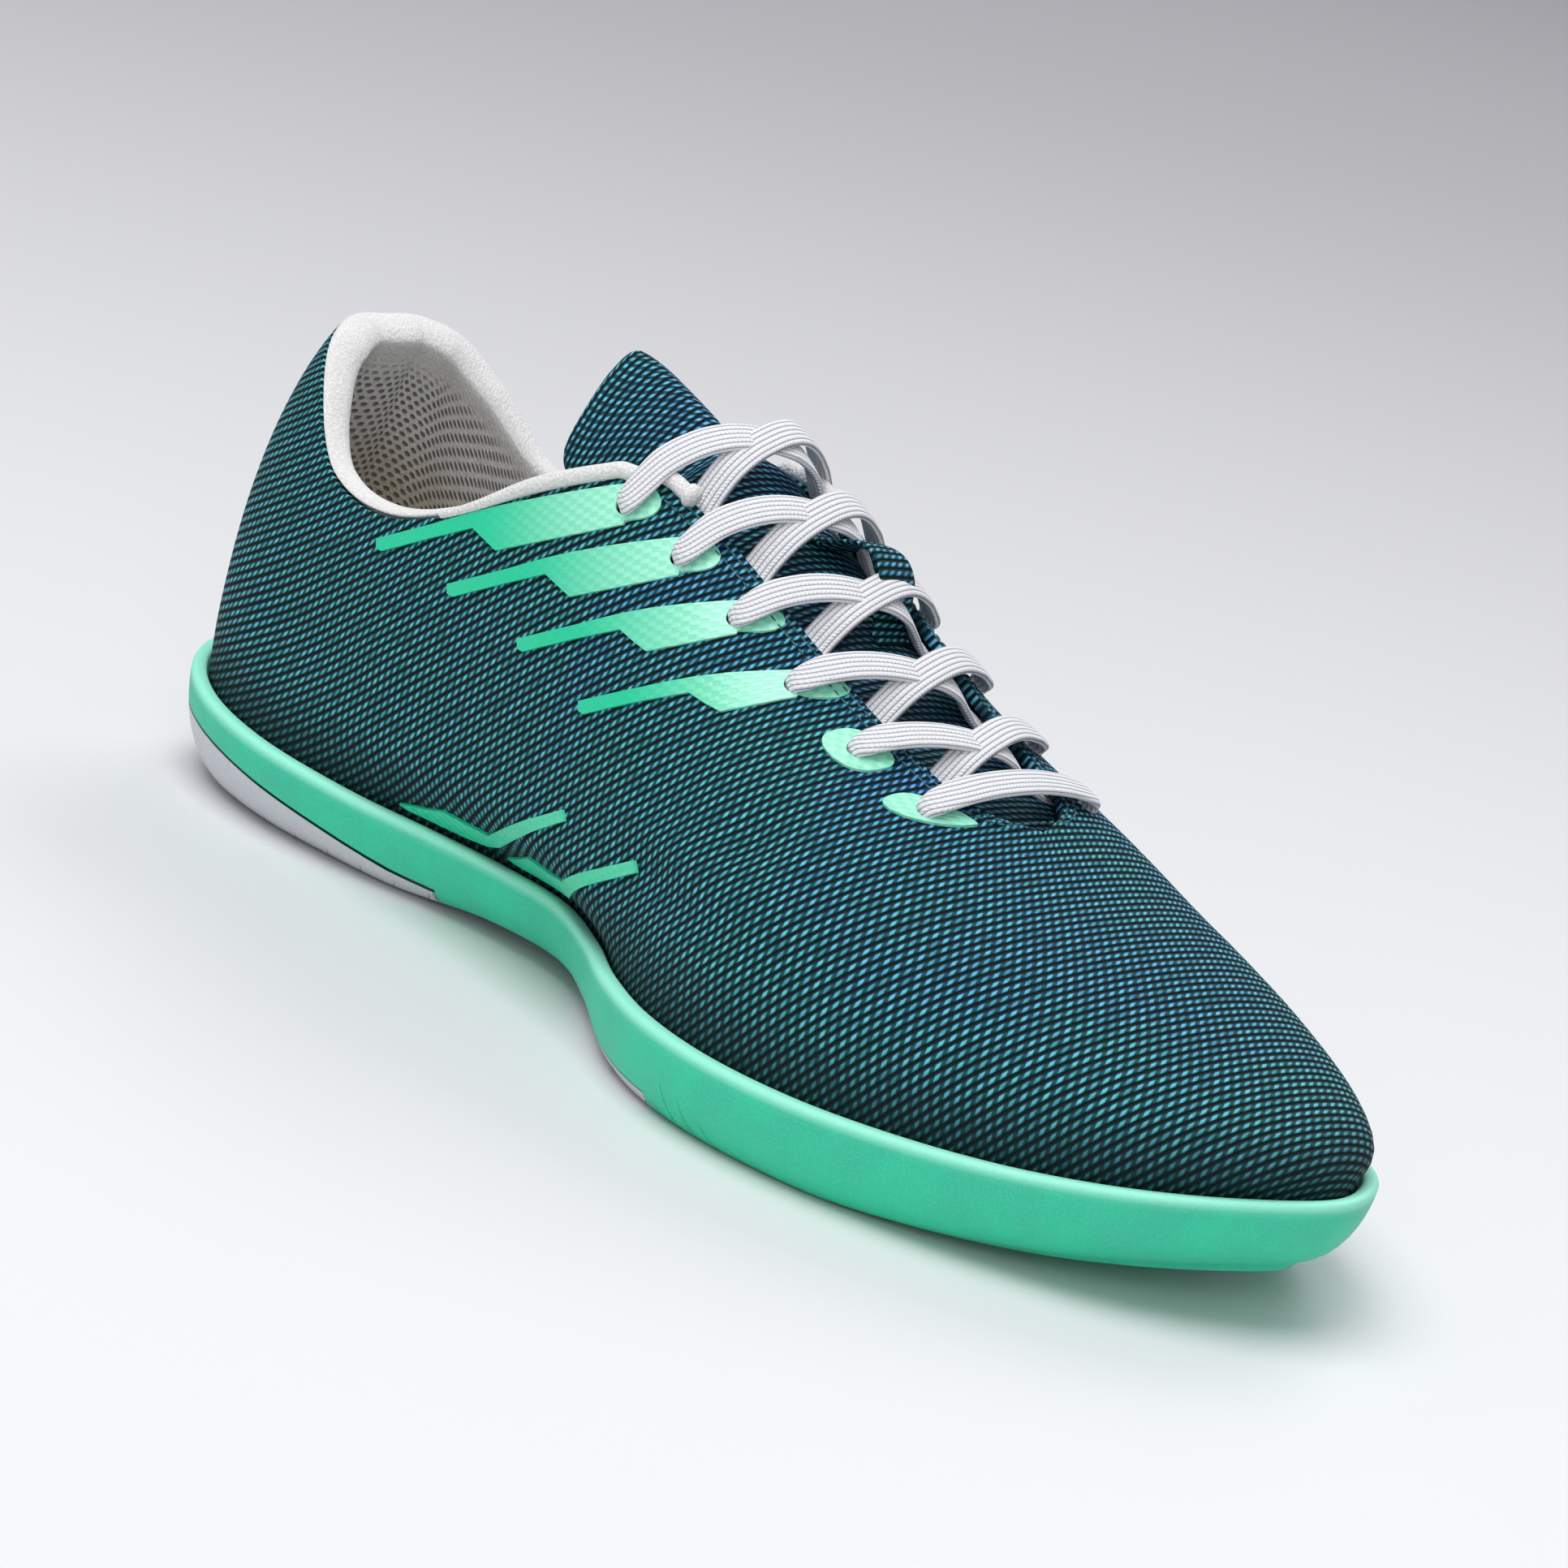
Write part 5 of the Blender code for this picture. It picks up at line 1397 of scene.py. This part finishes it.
def rounded_band(name, centres, wides, widths, depths, count, map_shift=0.0):
    """Flat band with rounded edges along a smooth run; each entry has its own width and depth."""
    centres = [Vector(p) for p in spline(centres, count)]
    wides = [Vector(p).normalized() for p in spline(wides, count)]
    widths = [p[0] for p in spline([(w, 0, 0) for w in widths], count)]
    depths = [p[0] for p in spline([(d, 0, 0) for d in depths], count)]
    angles = np.linspace(0, 2 * math.pi, 28, endpoint=False)
    sections = []
    for i, centre in enumerate(centres):
        ahead = (centres[min(i + 1, count - 1)] - centres[max(i - 1, 0)]).normalized()
        wide = (wides[i] - ahead * wides[i].dot(ahead)).normalized()
        thick = wide.cross(ahead)
        section = []
        for a in angles:
            w = math.copysign(abs(math.cos(a)) ** 0.55, math.cos(a)) * widths[i] / 2
            d = math.copysign(abs(math.sin(a)) ** 0.75, math.sin(a)) * depths[i] / 2
            section.append(centre + wide * w + thick * d)
        sections.append(section)
    along = lengths(centres)
    uvs = [[(along[k] + map_shift, v) for v in lengths(section)] for k, section in enumerate(sections)]
    return tube_mesh(name, sections, uvs)


def lace_entry(side, share, towards):
    """The first stretch of a lace, up through its eyelet and bent over towards the throat."""
    centre, normal = eyelet(side, share)
    flat = (towards - normal * towards.dot(normal)).normalized()
    centres = [centre + flat * ahead + normal * up for ahead, up, _, _ in LACE_ENTRY]
    wides = [normal.cross(flat)] * len(LACE_ENTRY)
    return centres, wides, [row[2] for row in LACE_ENTRY], [row[3] for row in LACE_ENTRY]


def lace_over(side, row, raise_middle):
    """One lace from its eyelet across the throat, then under the other edge."""
    start, _ = eyelet(side, EYELET_ROWS[row])
    x_end = at_share(EYELET_ROWS[row] + LACE_ADVANCE * (EYELET_ROWS[row + 1] - EYELET_ROWS[row]))
    y_end = spine_y(x_end) - side * (throat_half(x_end) - LACE_TUCK)
    towards = Vector((x_end - start.x, y_end - start.y, 0.0))
    centres, wides, widths, depths = lace_entry(side, EYELET_ROWS[row], towards)
    for t in (0.14, 0.24, 0.34, 0.44, 0.54, 0.64, 0.74, 0.84, 0.93, 1.0, 1.10, 1.20):
        x = start.x + t * towards.x
        y = start.y + t * towards.y
        hump = math.sin(math.pi * min(t / 0.86, 1.0))
        lift = LACE_REST + LACE_HUMP * hump + raise_middle * math.exp(-((t - 0.5) / 0.22) ** 2)
        lift -= LACE_DIVE * between(0.76, 1.08, t)
        normal = roof_normal(x, y)
        centres.append(Vector((x, y, roof(x, y))) + normal * lift)
        wides.append(normal.cross(towards.normalized()))
        widths.append(LACE_WIDTH)
        depths.append(LACE_THICKNESS)
    return rounded_band("lace", centres, wides, widths, depths, 84, LACE_MAP_SHIFT * row)


def lace_straight():
    """The bar between the lowest two eyelets."""
    share = EYELET_ROWS[-1]
    left, _ = eyelet(-1, share)
    right, _ = eyelet(1, share)
    towards = right - left
    centres, wides, widths, depths = lace_entry(-1, share, towards)
    for t in (0.16, 0.28, 0.40, 0.52, 0.64, 0.76, 0.84):
        x = left.x + t * towards.x
        y = left.y + t * towards.y
        normal = roof_normal(x, y)
        lift = LACE_REST + BAR_HUMP * math.sin(math.pi * t)
        centres.append(Vector((x, y, roof(x, y))) + normal * lift)
        wides.append(normal.cross(Vector((0, 1, 0))))
        widths.append(LACE_WIDTH)
        depths.append(LACE_THICKNESS)
    last = lace_entry(1, share, -towards)
    centres += last[0][::-1]
    wides += [-w for w in last[1][::-1]]
    widths += last[2][::-1]
    depths += last[3][::-1]
    return rounded_band("lace", centres, wides, widths, depths, 90)


def build_laces(finish):
    """Five crossing pairs and the bar below them."""
    for row in range(len(EYELET_ROWS) - 1):
        mesh = joined("lace", [lace_over(-1, row, 0.0), lace_over(1, row, LACE_LIFT)])
        lace = new_object("laces_%d" % (row + 1), mesh, finish)
        piece(lace, "woven_lace", "lace_crossing_%d" % (row + 1))
    piece(new_object("laces_6", lace_straight(), finish), "woven_lace", "lace_bar")


def build_tongue_loop(cloth):
    """Strip on the tongue that holds down the second pair of crossing laces."""
    centres, wides = [], []
    for share, lift in LOOP_RUN:
        x = at_share(share)
        y = spine_y(x) + LOOP_SIDE
        normal = roof_normal(x, y)
        centres.append(Vector((x, y, roof(x, y))) + normal * lift)
        wides.append(normal.cross(Vector((1, 0, 0))))
    count = len(LOOP_RUN)
    mesh = rounded_band("tongue_loop", centres, wides, [LOOP_WIDTH] * count, [LOOP_THICKNESS] * count, 60)
    paint(mesh, "shade", lambda co: 0.9)
    paint(mesh, "blue", lambda co: 0.8)
    piece(new_object("tongue_loop", mesh, cloth), "woven_upper")


def walk_up(side, share, z, distance):
    """Height reached by walking up the upper's surface from a height, across the shoe."""
    steps = 4
    for _ in range(steps):
        ahead = side_point(side, share, z + 0.001) - side_point(side, share, z)
        z += distance / steps * ahead[2] / max(np.linalg.norm(ahead), 1e-5)
    return z


def film_row(side, edges):
    """Closed section of a film across itself, on the upper through (share, height) points."""
    def at(share, z):
        return Vector(side_point(side, share, z))

    step = 0.002
    inner, outer = [], []
    for share, z in edges:
        point = at(share, z)
        along = at(share + step, z) - at(share - step, z)
        upward = at(share, z + step / 2) - at(share, z - step / 2)
        normal = along.cross(upward).normalized() * -side
        inner.append(point + normal * (FILM_LIFT - FILM_SINK))
        outer.append(point + normal * (FILM_LIFT + FILM))
    return outer + inner[::-1]


def finer(rows, step):
    """Rows with extra ones between, so that the first column moves by no more than a step."""
    result = [rows[0]]
    for a, b in zip(rows, rows[1:]):
        count = math.ceil(abs(b[0] - a[0]) / step)
        for k in range(1, count + 1):
            result.append(tuple(p + (q - p) * k / count for p, q in zip(a, b)))
    return result


def film_mesh(name, row, rise, rows):
    """Film through a lateral eyelet from rows of back, low and high; no rise means along the eyelets."""
    centre, _ = eyelet(-1, EYELET_ROWS[row])
    ahead, _ = eyelet(-1, EYELET_ROWS[row] + 0.03)
    turn = math.atan(rise) if rise else math.atan2(ahead.z - centre.z, ahead.x - centre.x)
    sections, uvs = [], []
    for back, low, high in rows:
        lean = turn + (back / HEAD_LENGTH * HEAD_BEND if rise and back < 0 else 0.0)
        middle = (turn + lean) / 2
        edges, marks = [], []
        for up in np.linspace(low, high, FILM_ACROSS):
            share = share_of(centre.x - back * math.cos(middle) - up * math.sin(lean))
            start = centre.z - back * math.sin(middle)
            edges.append((share, walk_up(-1, share, start, up * math.cos(lean))))
            marks.append((back, up))
        sections.append(film_row(-1, edges))
        uvs.append(marks + marks[::-1])
    return tube_mesh(name, sections, uvs), centre


def film_outline(head):
    """Rows of back, low and high for a film whose step lies a distance behind its eyelet."""
    low, high = FILM_EDGES
    rows = []
    for t in (1.0, 0.98, 0.94, 0.86, 0.75, 0.60, 0.42, 0.2):
        full = max(1 - t**HEAD_POWER, 0.004) ** (1 / HEAD_POWER)
        rows.append((-HEAD_LENGTH * t, low * full, high * full))
    tail = [(head + back, tail_low, tail_high) for back, tail_low, tail_high in FILM_TAIL]
    return rows + finer([(0.0, low, high)] + tail, FILM_STEP)


def ring_outline():
    """The same rows for a rounded ring."""
    half_width, half_length = FILM_RING
    rows = []
    for angle in np.linspace(-math.pi / 2, math.pi / 2, 21):
        half = half_width * max(math.cos(angle), 0.03) ** 0.7
        rows.append((half_length * math.sin(angle), -half, half))
    return rows


def build_eyelet_films(finish):
    """Green films beside the upper eyelets and rings on the lower ones."""
    made = [("eyelet_film_%d" % (row + 1), row, FILM_RISE, film_outline(head), FILM_FADE)
            for row, head in enumerate(FILM_HEADS)]
    made += [("eyelet_ring_%d" % (row + 1), row, 0.0, ring_outline(), RING_FADE) for row in (4, 5)]
    for name, row, rise, rows, fade_length in made:
        mesh, centre = film_mesh(name + "_sheet", row, rise, rows)
        film = new_object(name + "_sheet", mesh, finish)
        boolean(film, eyelet_pins(EYELET_RADIUS, (-1,), (row,)))
        paint(film.data, "fade", lambda co: 1 - between(0.0, fade_length, (co - centre).length))
        piece(film, "green_film", name)


def build_flashes(finish):
    """Green flashes that rise from the rim on both sides."""
    flashes = [("lateral_flash_%d" % (k + 1), -1, 0.0, rows) for k, rows in enumerate(LATERAL_FLASHES)]
    flashes += [("medial_flash_%d" % (k + 1), 1, (k - 2) * FLASH_STEP, LATERAL_FLASHES[1])
                for k in range(4)]
    for name, side, shift, rows in flashes:
        sections, uvs = [], []
        for low, low_z, high, high_z in finer(rows, FLASH_ROWS):
            edges = [(low + shift + (high - low) * t, low_z + (high_z - low_z) * t)
                     for t in np.linspace(0, 1, 5)]
            sections.append(film_row(side, edges))
            marks = [(share * SHOE_LENGTH, z) for share, z in edges]
            uvs.append(marks + marks[::-1])
        mesh = tube_mesh(name + "_sheet", sections, uvs)
        paint(mesh, "fade", lambda co: 0.03 + 0.12 * between(*FLASH_FADE, co.z))
        piece(new_object(name + "_sheet", mesh, finish), "green_film", name)


def sole_ring(inset_of, height_of):
    """Ring around the sole from rules for its inset and its height at each place."""
    ring = []
    for place in (FULL * k / SOLE_POINTS for k in range(SOLE_POINTS)):
        x = SOLE_PLAN.at(place)[0]
        flat = SOLE_PLAN.inset(place, inset_of(x))
        ring.append((flat[0], flat[1], height_of(x, flat[0])))
    return ring


def wall_ring(angle):
    """Ring of the sole's outer wall: 0 at the rim, 90 degrees at the ground."""
    def wall_height(x, _):
        return height(RIM, x) - (height(RIM, x) - height(FLOOR, x)) * math.sin(angle)

    return sole_ring(lambda x: height(EDGE_INSET, x) * (1 - math.cos(angle)), wall_height)


def level_ring(inset, column, lift=0.0):
    return sole_ring(lambda x: inset, lambda x, at: height(column, at) + lift)


def sole_rings(hollow):
    """Rings from the ground up over the rim, and down to the footbed where it is hollow."""
    rings = [sole_ring(lambda x: height(EDGE_INSET, x), lambda x, at: height(FLOOR, at))]
    rings += [wall_ring(math.radians(a)) for a in WALL_ANGLES]
    rings += [level_ring(inset, RIM, -drop) for inset, drop in RIM_TOP]
    if hollow:
        rings.append(level_ring(RIM_WIDTH + RIM_TUCK, FOOTBED))
    return rings


def ring_solid(name, rings):
    """Body from closed rings around the shoe, first and last closed with bars across."""
    mesh = sheet_mesh(name, rings, closed=True)
    form = bmesh.new()
    form.from_mesh(mesh)
    form.verts.ensure_lookup_table()
    count = len(rings[0])
    half = count // 2
    for row in (0, len(rings) - 1):
        ring = [form.verts[row * count + i] for i in range(count)]
        form.faces.new((ring[0], ring[1], ring[-1]))
        for i in range(1, half - 1):
            form.faces.new((ring[i], ring[i + 1], ring[count - i - 1], ring[count - i]))
        form.faces.new((ring[half - 1], ring[half], ring[half + 1]))
    form.to_mesh(mesh)
    form.free()
    return welded(mesh, RING_WELD)


def outset(points, distance):
    """Closed polygon moved outwards by a distance; its corners keep their mitres."""
    pts = [Vector((at_share(s), y * BALL_WIDTH)) for s, y in points]
    area = sum(a.x * b.y - b.x * a.y for a, b in zip(pts, pts[1:] + pts[:1]))
    turn = 1 if area > 0 else -1
    result = []
    for before, here, after in zip(pts[-1:] + pts[:-1], pts, pts[1:] + pts[:1]):
        n1 = Vector(((here - before).y, -(here - before).x)).normalized() * turn
        n2 = Vector(((after - here).y, -(after - here).x)).normalized() * turn
        result.append(here + (n1 + n2) / max(1 + n1.dot(n2), 0.25) * distance)
    return result


def ground_prism(name, points, distance, top):
    """Prism from below the floor up to a height over the sole's ground face."""
    polygon = outset(points, distance)
    form = bmesh.new()
    low = [form.verts.new((p.x, p.y, -PRISM_HALF)) for p in polygon]
    high = [form.verts.new((p.x, p.y, PRISM_HALF)) for p in polygon]
    form.faces.new(low[::-1])
    form.faces.new(high)
    for i in range(len(polygon)):
        j = (i + 1) % len(polygon)
        form.faces.new((low[i], low[j], high[j], high[i]))
    xs = [p.x for p in polygon]
    for share in np.arange(0.02, 1.0, 0.02):
        if min(xs) + 0.001 < at_share(share) < max(xs) - 0.001:
            geometry = form.verts[:] + form.edges[:] + form.faces[:]
            bmesh.ops.bisect_plane(form, geom=geometry, plane_co=(at_share(share), 0, 0),
                                   plane_no=(1, 0, 0), dist=1e-6)
    for vert in form.verts:
        if vert.co.z > 0:
            vert.co.z = height(FLOOR, vert.co.x) + top
    bmesh.ops.triangulate(form, faces=form.faces)
    mesh = bpy.data.meshes.new(name)
    form.to_mesh(mesh)
    form.free()
    return welded(mesh, RING_WELD)


def wing_prism(gap):
    """Bar along the outer side of the heel, where the pale plate climbs the wall."""
    sections = []
    first, last = WING_PLACES
    for k in range(WING_SECTIONS):
        place = first + k * (last - first) / (WING_SECTIONS - 1)
        if k in (0, WING_SECTIONS - 1):
            room = 2 * gap / np.linalg.norm(SOLE_PLAN.at(place + 0.5) - SOLE_PLAN.at(place - 0.5))
            place += -room if k == 0 else room
        share = share_of(SOLE_PLAN.at(place)[0])
        fade = min(max((WING_FADE[0] - share) / WING_FADE[1], 0.0), 1.0)
        floor = height(FLOOR, SOLE_PLAN.at(place)[0])
        top = floor * (1 - fade) + PLATE_THICKNESS * WING_FOOT + SIDE_PLATE_HEIGHT * fade + gap
        corners = [(WING_INSIDE + gap, WING_LOW), (-WING_OUTSIDE, WING_LOW),
                   (-WING_OUTSIDE, top + WING_SLOPE[1]), (WING_SLOPE[0] + gap, top),
                   (WING_INSIDE + gap, floor + PLATE_THICKNESS * WING_FOOT)]
        sections.append([(*SOLE_PLAN.inset(place, inset), z) for inset, z in corners])
    return tube_mesh("wing", sections)


def web_region(distance, top):
    """Everything the ground plate may fill: the middle plate and its wing up the heel."""
    region = bpy.data.objects.new("region", ground_prism("region", WEB_OUTLINE, distance, top))
    bpy.context.scene.collection.objects.link(region)
    boolean(region, wing_prism(1.5 * distance), "UNION")
    mesh = region.data
    bpy.data.objects.remove(region, do_unlink=True)
    return mesh


def on_sole(x, y):
    """Point of the sole's outer surface over a plan point, and its outward normal."""
    start, end = (0.0, HALF) if y < 0 else (HALF, FULL)
    places = np.linspace(start, end, 181)
    for _ in range(2):
        gaps = [np.linalg.norm(SOLE_PLAN.at(place) - (x, y)) for place in places]
        best = int(np.argmin(gaps))
        place, inset = places[best], gaps[best]
        span = places[1] - places[0]
        places = np.linspace(place - span, place + span, 11)
    reach = height(EDGE_INSET, SOLE_PLAN.at(place)[0])
    rim, floor = height(RIM, x), height(FLOOR, x)
    if inset >= reach:
        return Vector((x, y, floor)), Vector((0, 0, -1))
    angle = math.acos(1 - inset / reach)
    outward = -SOLE_PLAN.inward(place) * (rim - floor) * math.cos(angle)
    normal = Vector((outward[0], outward[1], -reach * math.sin(angle))).normalized()
    return Vector((x, y, rim - (rim - floor) * math.sin(angle))), normal


def groove(rows, share):
    """Lens of triangular section along the sole, from its inner to its outer end."""
    inner, outer = smooth(rows, share, 1) * BALL_WIDTH, smooth(rows, share, 2) * BALL_WIDTH
    sweep = smooth(rows, share, 3)
    steps = (0.0, 0.12, 0.3, 0.5, 0.7, 0.85, 0.94, 1.0)
    track = [on_sole(at_share(share) - sweep * t**4, inner + (outer - inner) * t) for t in steps]
    sections = []
    for i, (point, normal) in enumerate(track):
        ahead = track[min(i + 1, len(track) - 1)][0] - track[max(i - 1, 0)][0]
        fullness = max(math.sin(math.pi * steps[i]) ** 0.6, 0.1)
        wide = ahead.cross(normal).normalized() * GROOVE_WIDTH / 2 * fullness
        lift = normal * GROOVE_DEPTH / 2
        deep = normal * GROOVE_DEPTH * fullness
        sections.append([point + wide * 1.4 + lift, point - wide * 1.4 + lift,
                         point - wide * 0.3 - deep, point + wide * 0.3 - deep])
    return tube_mesh("groove", sections)


def all_grooves():
    """The tread's grooves under the ball, and those of the heel pad."""
    meshes = []
    for rows, pitch in ((LATERAL_GROOVES, GROOVE_PITCH), (MEDIAL_GROOVES, GROOVE_PITCH),
                        (HEEL_GROOVES, HEEL_PITCH)):
        first, last = rows[0][0], rows[-1][0]
        count = round((last - first) * SHOE_LENGTH / pitch) + 1
        meshes += [groove(rows, first + (last - first) * k / (count - 1)) for k in range(count)]
    return joined("grooves", meshes)


def build_sole(green, pale, ball_finish, heel_finish):
    """The green cup with its grooves, the pale ground plate and its two insets."""
    cup = new_object("sole_cup", ring_solid("sole_cup", sole_rings(hollow=True)), green)
    boolean(cup, web_region(FIT_GAP, PLATE_THICKNESS + FIT_GAP))
    boolean(cup, all_grooves())
    # painted light on the rim's top
    paint(cup.data, "rim", lambda co: between(*RIM_LIT_BAND, co.z - height(RIM, co.x)))
    piece(cup, "green_rubber", "cupsole")
    plate = new_object("sole_plate", ring_solid("sole_plate", sole_rings(hollow=False)), pale)
    whole = plate.data.copy()
    boolean(plate, web_region(0.0, PLATE_THICKNESS), "INTERSECT")
    insets = (("ball_inset", BALL_INSET, ball_finish), ("heel_inset", HEEL_INSET, heel_finish))
    for name, outline, finish in insets:
        boolean(plate, ground_prism("hole", outline, FIT_GAP, INSET_HOLE))
        inset = new_object("sole_" + name, whole.copy(), finish)
        boolean(inset, ground_prism("form", outline, 0.0, PLATE_THICKNESS), "INTERSECT")
        piece(inset, "green_rubber", name)
    paint(plate.data, "ridge", lambda co: between(*RIDGE_FADE, co.z - height(FLOOR, co.x)))
    piece(plate, "pale_rubber", "ground_plate")


def build_insole(finish):
    """Foam bed on the footbed, with a rounded upper edge."""
    inset = RIM_WIDTH + RIM_TUCK + UPPER_WALL + 2 * FIT_GAP + INSOLE_EASE
    rings = [level_ring(inset, FOOTBED, FIT_GAP)]
    for draw_in, lift in INSOLE_EDGE:
        rings.append(level_ring(inset + draw_in, FOOTBED, FIT_GAP + INSOLE_THICKNESS * lift))
    piece(new_object("insole_pad", ring_solid("insole_pad", rings), finish), "insole_foam", "insole")


def look(thing, at, target, roll=0.0):
    """Aim a camera or a light, rolled about its own axis."""
    away = (at - target).normalized()
    right = Vector((0, 0, 1)).cross(away).normalized()
    up = away.cross(right)
    turned = right * math.cos(roll) + up * math.sin(roll)
    columns = (turned, away.cross(turned), away)
    turn = Matrix(columns).transposed().to_4x4()
    thing.matrix_world = Matrix.Translation(at) @ turn


def floor_paint():
    """Matt paint, pale in front and greyer behind the shoe."""
    ahead = Vector((CAMERA_AIM.x - CAMERA_AT.x, CAMERA_AIM.y - CAMERA_AT.y, 0)).normalized()
    f = Finish("floor_paint", 0.55)
    split = f.nodes.new("ShaderNodeSeparateXYZ")
    f.links.new(f.place(), split.inputs[0])
    away = f.math("MULTIPLY", split.outputs[0], ahead.x)
    away = f.math("ADD", away, f.math("MULTIPLY", split.outputs[1], ahead.y))
    grain = f.noise(f.place(), 40.0, 2.0)
    colour = f.mix(f.step(away, *FLOOR_FADE), FLOOR_NEAR, FLOOR_FAR)
    return f.done(f.mix(f.math("MULTIPLY", grain, 0.02), colour, FLOOR_FLECK))


def set_stage():
    """Pale floor, soft lights and the camera."""
    mesh = bpy.data.meshes.new("floor")
    corners = [(x * FLOOR_HALF, y * FLOOR_HALF, 0) for x, y in ((-1, -1), (1, -1), (1, 1), (-1, 1))]
    mesh.from_pydata(corners, [], [(0, 1, 2, 3)])
    new_object("floor", mesh, floor_paint())

    world = bpy.data.worlds.new("studio")
    world.use_nodes = True
    world.node_tree.nodes["Background"].inputs[0].default_value = SKY_COLOUR
    world.node_tree.nodes["Background"].inputs[1].default_value = SKY_POWER
    bpy.context.scene.world = world
    for name, at, width, power in LIGHTS:
        lamp = bpy.data.lights.new(name, "AREA")
        lamp.size = width
        lamp.energy = power
        thing = bpy.data.objects.new(name, lamp)
        bpy.context.scene.collection.objects.link(thing)
        look(thing, at, CAMERA_AIM)

    camera = bpy.data.cameras.new("camera")
    camera.lens = CAMERA_LENS
    camera.clip_end = 100
    thing = bpy.data.objects.new("camera", camera)
    bpy.context.scene.collection.objects.link(thing)
    look(thing, CAMERA_AT, CAMERA_AIM, math.radians(CAMERA_ROLL))
    bpy.context.scene.camera = thing
    bpy.context.scene.view_settings.view_transform = "Standard"


def build_shoe():
    """Every piece of the shoe, dressed in its material."""
    cloth = woven("upper_weave", RIB_PITCH, BEAD_PITCH)
    places, surface, normals = build_upper(cloth)
    tree = stitch_tree()
    dark_thread = thread("dark_thread", THREAD_TEAL)
    for k, row in enumerate(STITCH_ROWS):
        line = throat_line(places, surface, normals, row)
        name = "eyestay_stitches_%d" % (k + 1)
        piece(stitch_row(name, tree, line, dark_thread), "woven_upper")
    film = green_film()
    build_eyelet_films(film)
    build_flashes(film)
    build_lining(lining_mesh())
    build_piping(places, surface, normals, knit_roll("piping_knit", PIPING_WHITE))
    build_tongue(woven("tongue_weave", TONGUE_RIB, BEAD_PITCH))
    build_tongue_loop(woven("loop_weave", TONGUE_RIB, BEAD_PITCH))
    build_laces(lace_braid())
    build_insole(knit_roll("insole_cover", INSOLE_CREAM))
    build_sole(green_rubber(), pale_rubber(), ribbed_green("ball_rubber", 1.6, BALL_RIB),
               ribbed_green("heel_rubber", 1.2, HEEL_RIB))


set_stage()
build_shoe()
